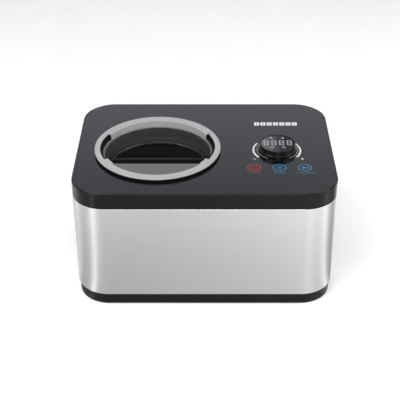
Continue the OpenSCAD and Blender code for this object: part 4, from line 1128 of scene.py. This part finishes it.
class ICE_OT_stage(bpy.types.Operator):
    """Set the pale floor, the soft studio light and the camera"""
    bl_idname = "ice.stage"
    bl_label = "Stage"

    def execute(self, context):
        scene = context.scene
        look = scene.ice_stage
        self.floor()
        self.sky(scene)
        self.mirror_card()
        for name, (place, size, power) in LAMPS.items():
            self.lamp(name, place, size, power)
        data = bpy.data.cameras.new("camera")
        data.lens = look.lens
        data.shift_x = look.shift
        camera = bpy.data.objects.new("camera", data)
        scene.collection.objects.link(camera)
        away = Vector((0, -math.cos(look.elevation), math.sin(look.elevation)))
        camera.location = Vector((look.aim_side, 0, look.aim_height)) + away * look.distance
        camera.rotation_euler = (math.pi / 2 - look.elevation, 0, 0)
        scene.camera = camera
        scene.view_settings.view_transform = "Standard"
        return {"FINISHED"}

    def floor(self):
        """The floor under the machine."""
        bm = bmesh.new()
        bmesh.ops.create_grid(bm, x_segments=8, y_segments=8, size=FLOOR_SIZE / 2)
        floor = plain_object("floor", bm)
        material, tree, shader = blank_material("floor", Roughness=0.9, Specular_IOR_Level=0.1)
        grain = place_group(tree, "grain", Scale=300.0)
        base = tint(tree, grain.outputs["Tone"], (0.90, 0.90, 0.90, 1), (0.94, 0.94, 0.94, 1))
        tree.links.new(base, shader.inputs["Base Color"])
        floor.data.materials.append(material)

    def mirror_card(self):
        """A glowing card flat on the floor that only mirrored light sees, shaded by direction."""
        bm = bmesh.new()
        bmesh.ops.create_grid(bm, x_segments=2, y_segments=2, size=CARD_HALF,
                              matrix=Matrix.Translation((0, 0, CARD_LIFT)))
        card = plain_object("mirror_card", bm)
        for ray in ("camera", "diffuse", "transmission", "volume_scatter", "shadow"):
            setattr(card, "visible_" + ray, False)
        material = bpy.data.materials.new("mirror_card")
        material.use_nodes = True
        tree = material.node_tree
        tree.nodes.clear()
        place = tree.nodes.new("ShaderNodeTexCoord")
        apart = tree.nodes.new("ShaderNodeSeparateXYZ")
        tree.links.new(place.outputs["Object"], apart.inputs[0])
        pivot_x = CABINET.x / 2 - bpy.context.scene.ice_cabinet.corner
        pivot_y = CABINET.y / 2 - bpy.context.scene.ice_cabinet.corner
        aside = math_node(tree, "SUBTRACT", math_node(tree, "ABSOLUTE", apart.outputs[0], 0), pivot_x)
        aside = math_node(tree, "MAXIMUM", aside, 0.0)
        ahead = math_node(tree, "SUBTRACT", math_node(tree, "MULTIPLY", apart.outputs[1], -1), pivot_y)
        angle = math_node(tree, "DIVIDE", math_node(tree, "ARCTAN2", aside, ahead), math.pi)
        rightward = math_node(tree, "GREATER_THAN", apart.outputs[0], 0.0)
        leftward = math_node(tree, "SUBTRACT", 1.0, rightward)
        around = math_node(
            tree, "ADD", math_node(tree, "MULTIPLY", self.ramp(tree, angle, CARD_LEFT), leftward),
            math_node(tree, "MULTIPLY", self.ramp(tree, angle, CARD_RIGHT), rightward))
        away = math_node(tree, "SQRT", math_node(tree, "ADD", math_node(tree, "POWER", aside, 2),
                                                 math_node(tree, "POWER", ahead, 2)), 0)
        outward = self.ramp(tree, away, CARD_OUTWARD)
        across = self.ramp(tree, math_node(tree, "ADD", apart.outputs[0], CARD_SIDE), CARD_ACROSS)
        glow = tree.nodes.new("ShaderNodeEmission")
        strength = math_node(tree, "MULTIPLY", math_node(tree, "MULTIPLY", around, outward), across)
        tree.links.new(strength, glow.inputs["Strength"])
        end = tree.nodes.new("ShaderNodeOutputMaterial")
        tree.links.new(glow.outputs[0], end.inputs["Surface"])
        card.data.materials.append(material)

    def ramp(self, tree, value, stops):
        """A value shaped by (position, level) stops, with levels up to CARD_PEAK."""
        node = tree.nodes.new("ShaderNodeValToRGB")
        tree.links.new(value, node.inputs["Fac"])
        elements = node.color_ramp.elements
        while len(elements) > 1:
            elements.remove(elements[-1])
        for i, (position, level) in enumerate(stops):
            stop = elements[0] if i == 0 else elements.new(position)
            stop.position = position
            grey = level / CARD_PEAK
            stop.color = (grey, grey, grey, 1)
        return math_node(tree, "MULTIPLY", node.outputs["Color"], CARD_PEAK)

    def sky(self, scene):
        """A pale surround that is brighter towards the horizon."""
        world = bpy.data.worlds.new("studio")
        world.use_nodes = True
        tree = world.node_tree
        place = tree.nodes.new("ShaderNodeTexCoord")
        apart = tree.nodes.new("ShaderNodeSeparateXYZ")
        tree.links.new(place.outputs["Generated"], apart.inputs[0])
        ramp = tree.nodes.new("ShaderNodeValToRGB")
        stops = ramp.color_ramp.elements
        stops[0].position, stops[0].color = 0.0, (1, 1, 1, 1)
        stops[1].position, stops[1].color = 1.0, (0.3, 0.3, 0.3, 1)
        for position, value in SKY_STOPS:
            stop = stops.new(position)
            stop.color = tuple(value * c for c in SKY_TINT) + (1,)
        tree.links.new(apart.outputs[2], ramp.inputs["Fac"])
        shine = next(n for n in tree.nodes if n.type == "BACKGROUND")
        tree.links.new(ramp.outputs["Color"], shine.inputs["Color"])
        shine.inputs["Strength"].default_value = 1.0
        scene.world = world

    def lamp(self, name, place, size, power):
        """One square softbox that points at a spot."""
        data = bpy.data.lights.new(name, "AREA")
        data.size = size
        data.energy = power
        lamp = bpy.data.objects.new(name, data)
        lamp.location = place
        lamp.rotation_euler = (Vector(place) - Vector(LAMP_AIM)).to_track_quat("Z", "Y").to_euler()
        bpy.context.scene.collection.objects.link(lamp)


class ICE_PT_panel(bpy.types.Panel):
    """Lists the steps that build the machine, with their settings"""
    bl_idname = "ICE_PT_panel"
    bl_label = "Ice Cream Maker"
    bl_space_type = "VIEW_3D"
    bl_region_type = "UI"
    bl_category = "Ice Cream"

    def draw(self, context):
        for step in STEPS:
            self.layout.operator(step.bl_idname)
        for label, group in SETTINGS.items():
            box = self.layout.box()
            settings = getattr(context.scene, label)
            for name in group.__annotations__:
                box.prop(settings, name)


STEPS = (ICE_OT_inside, ICE_OT_base, ICE_OT_wrap, ICE_OT_top, ICE_OT_sides, ICE_OT_lid, ICE_OT_bowl,
         ICE_OT_dial, ICE_OT_marks, ICE_OT_digits, ICE_OT_stage)


def register():
    for cls in (*SETTINGS.values(), *STEPS, ICE_PT_panel):
        bpy.utils.register_class(cls)
    for label, group in SETTINGS.items():
        setattr(bpy.types.Scene, label, bpy.props.PointerProperty(type=group))


def unregister():
    for label in SETTINGS:
        delattr(bpy.types.Scene, label)
    for cls in reversed((*SETTINGS.values(), *STEPS, ICE_PT_panel)):
        bpy.utils.unregister_class(cls)


def run_step(step):
    """Calls one operator by its name, as the panel's button does."""
    category, name = step.bl_idname.split(".")
    getattr(getattr(bpy.ops, category), name)()


def main():
    register()
    for step in STEPS:
        run_step(step)


if __name__ == "__main__":
    main()
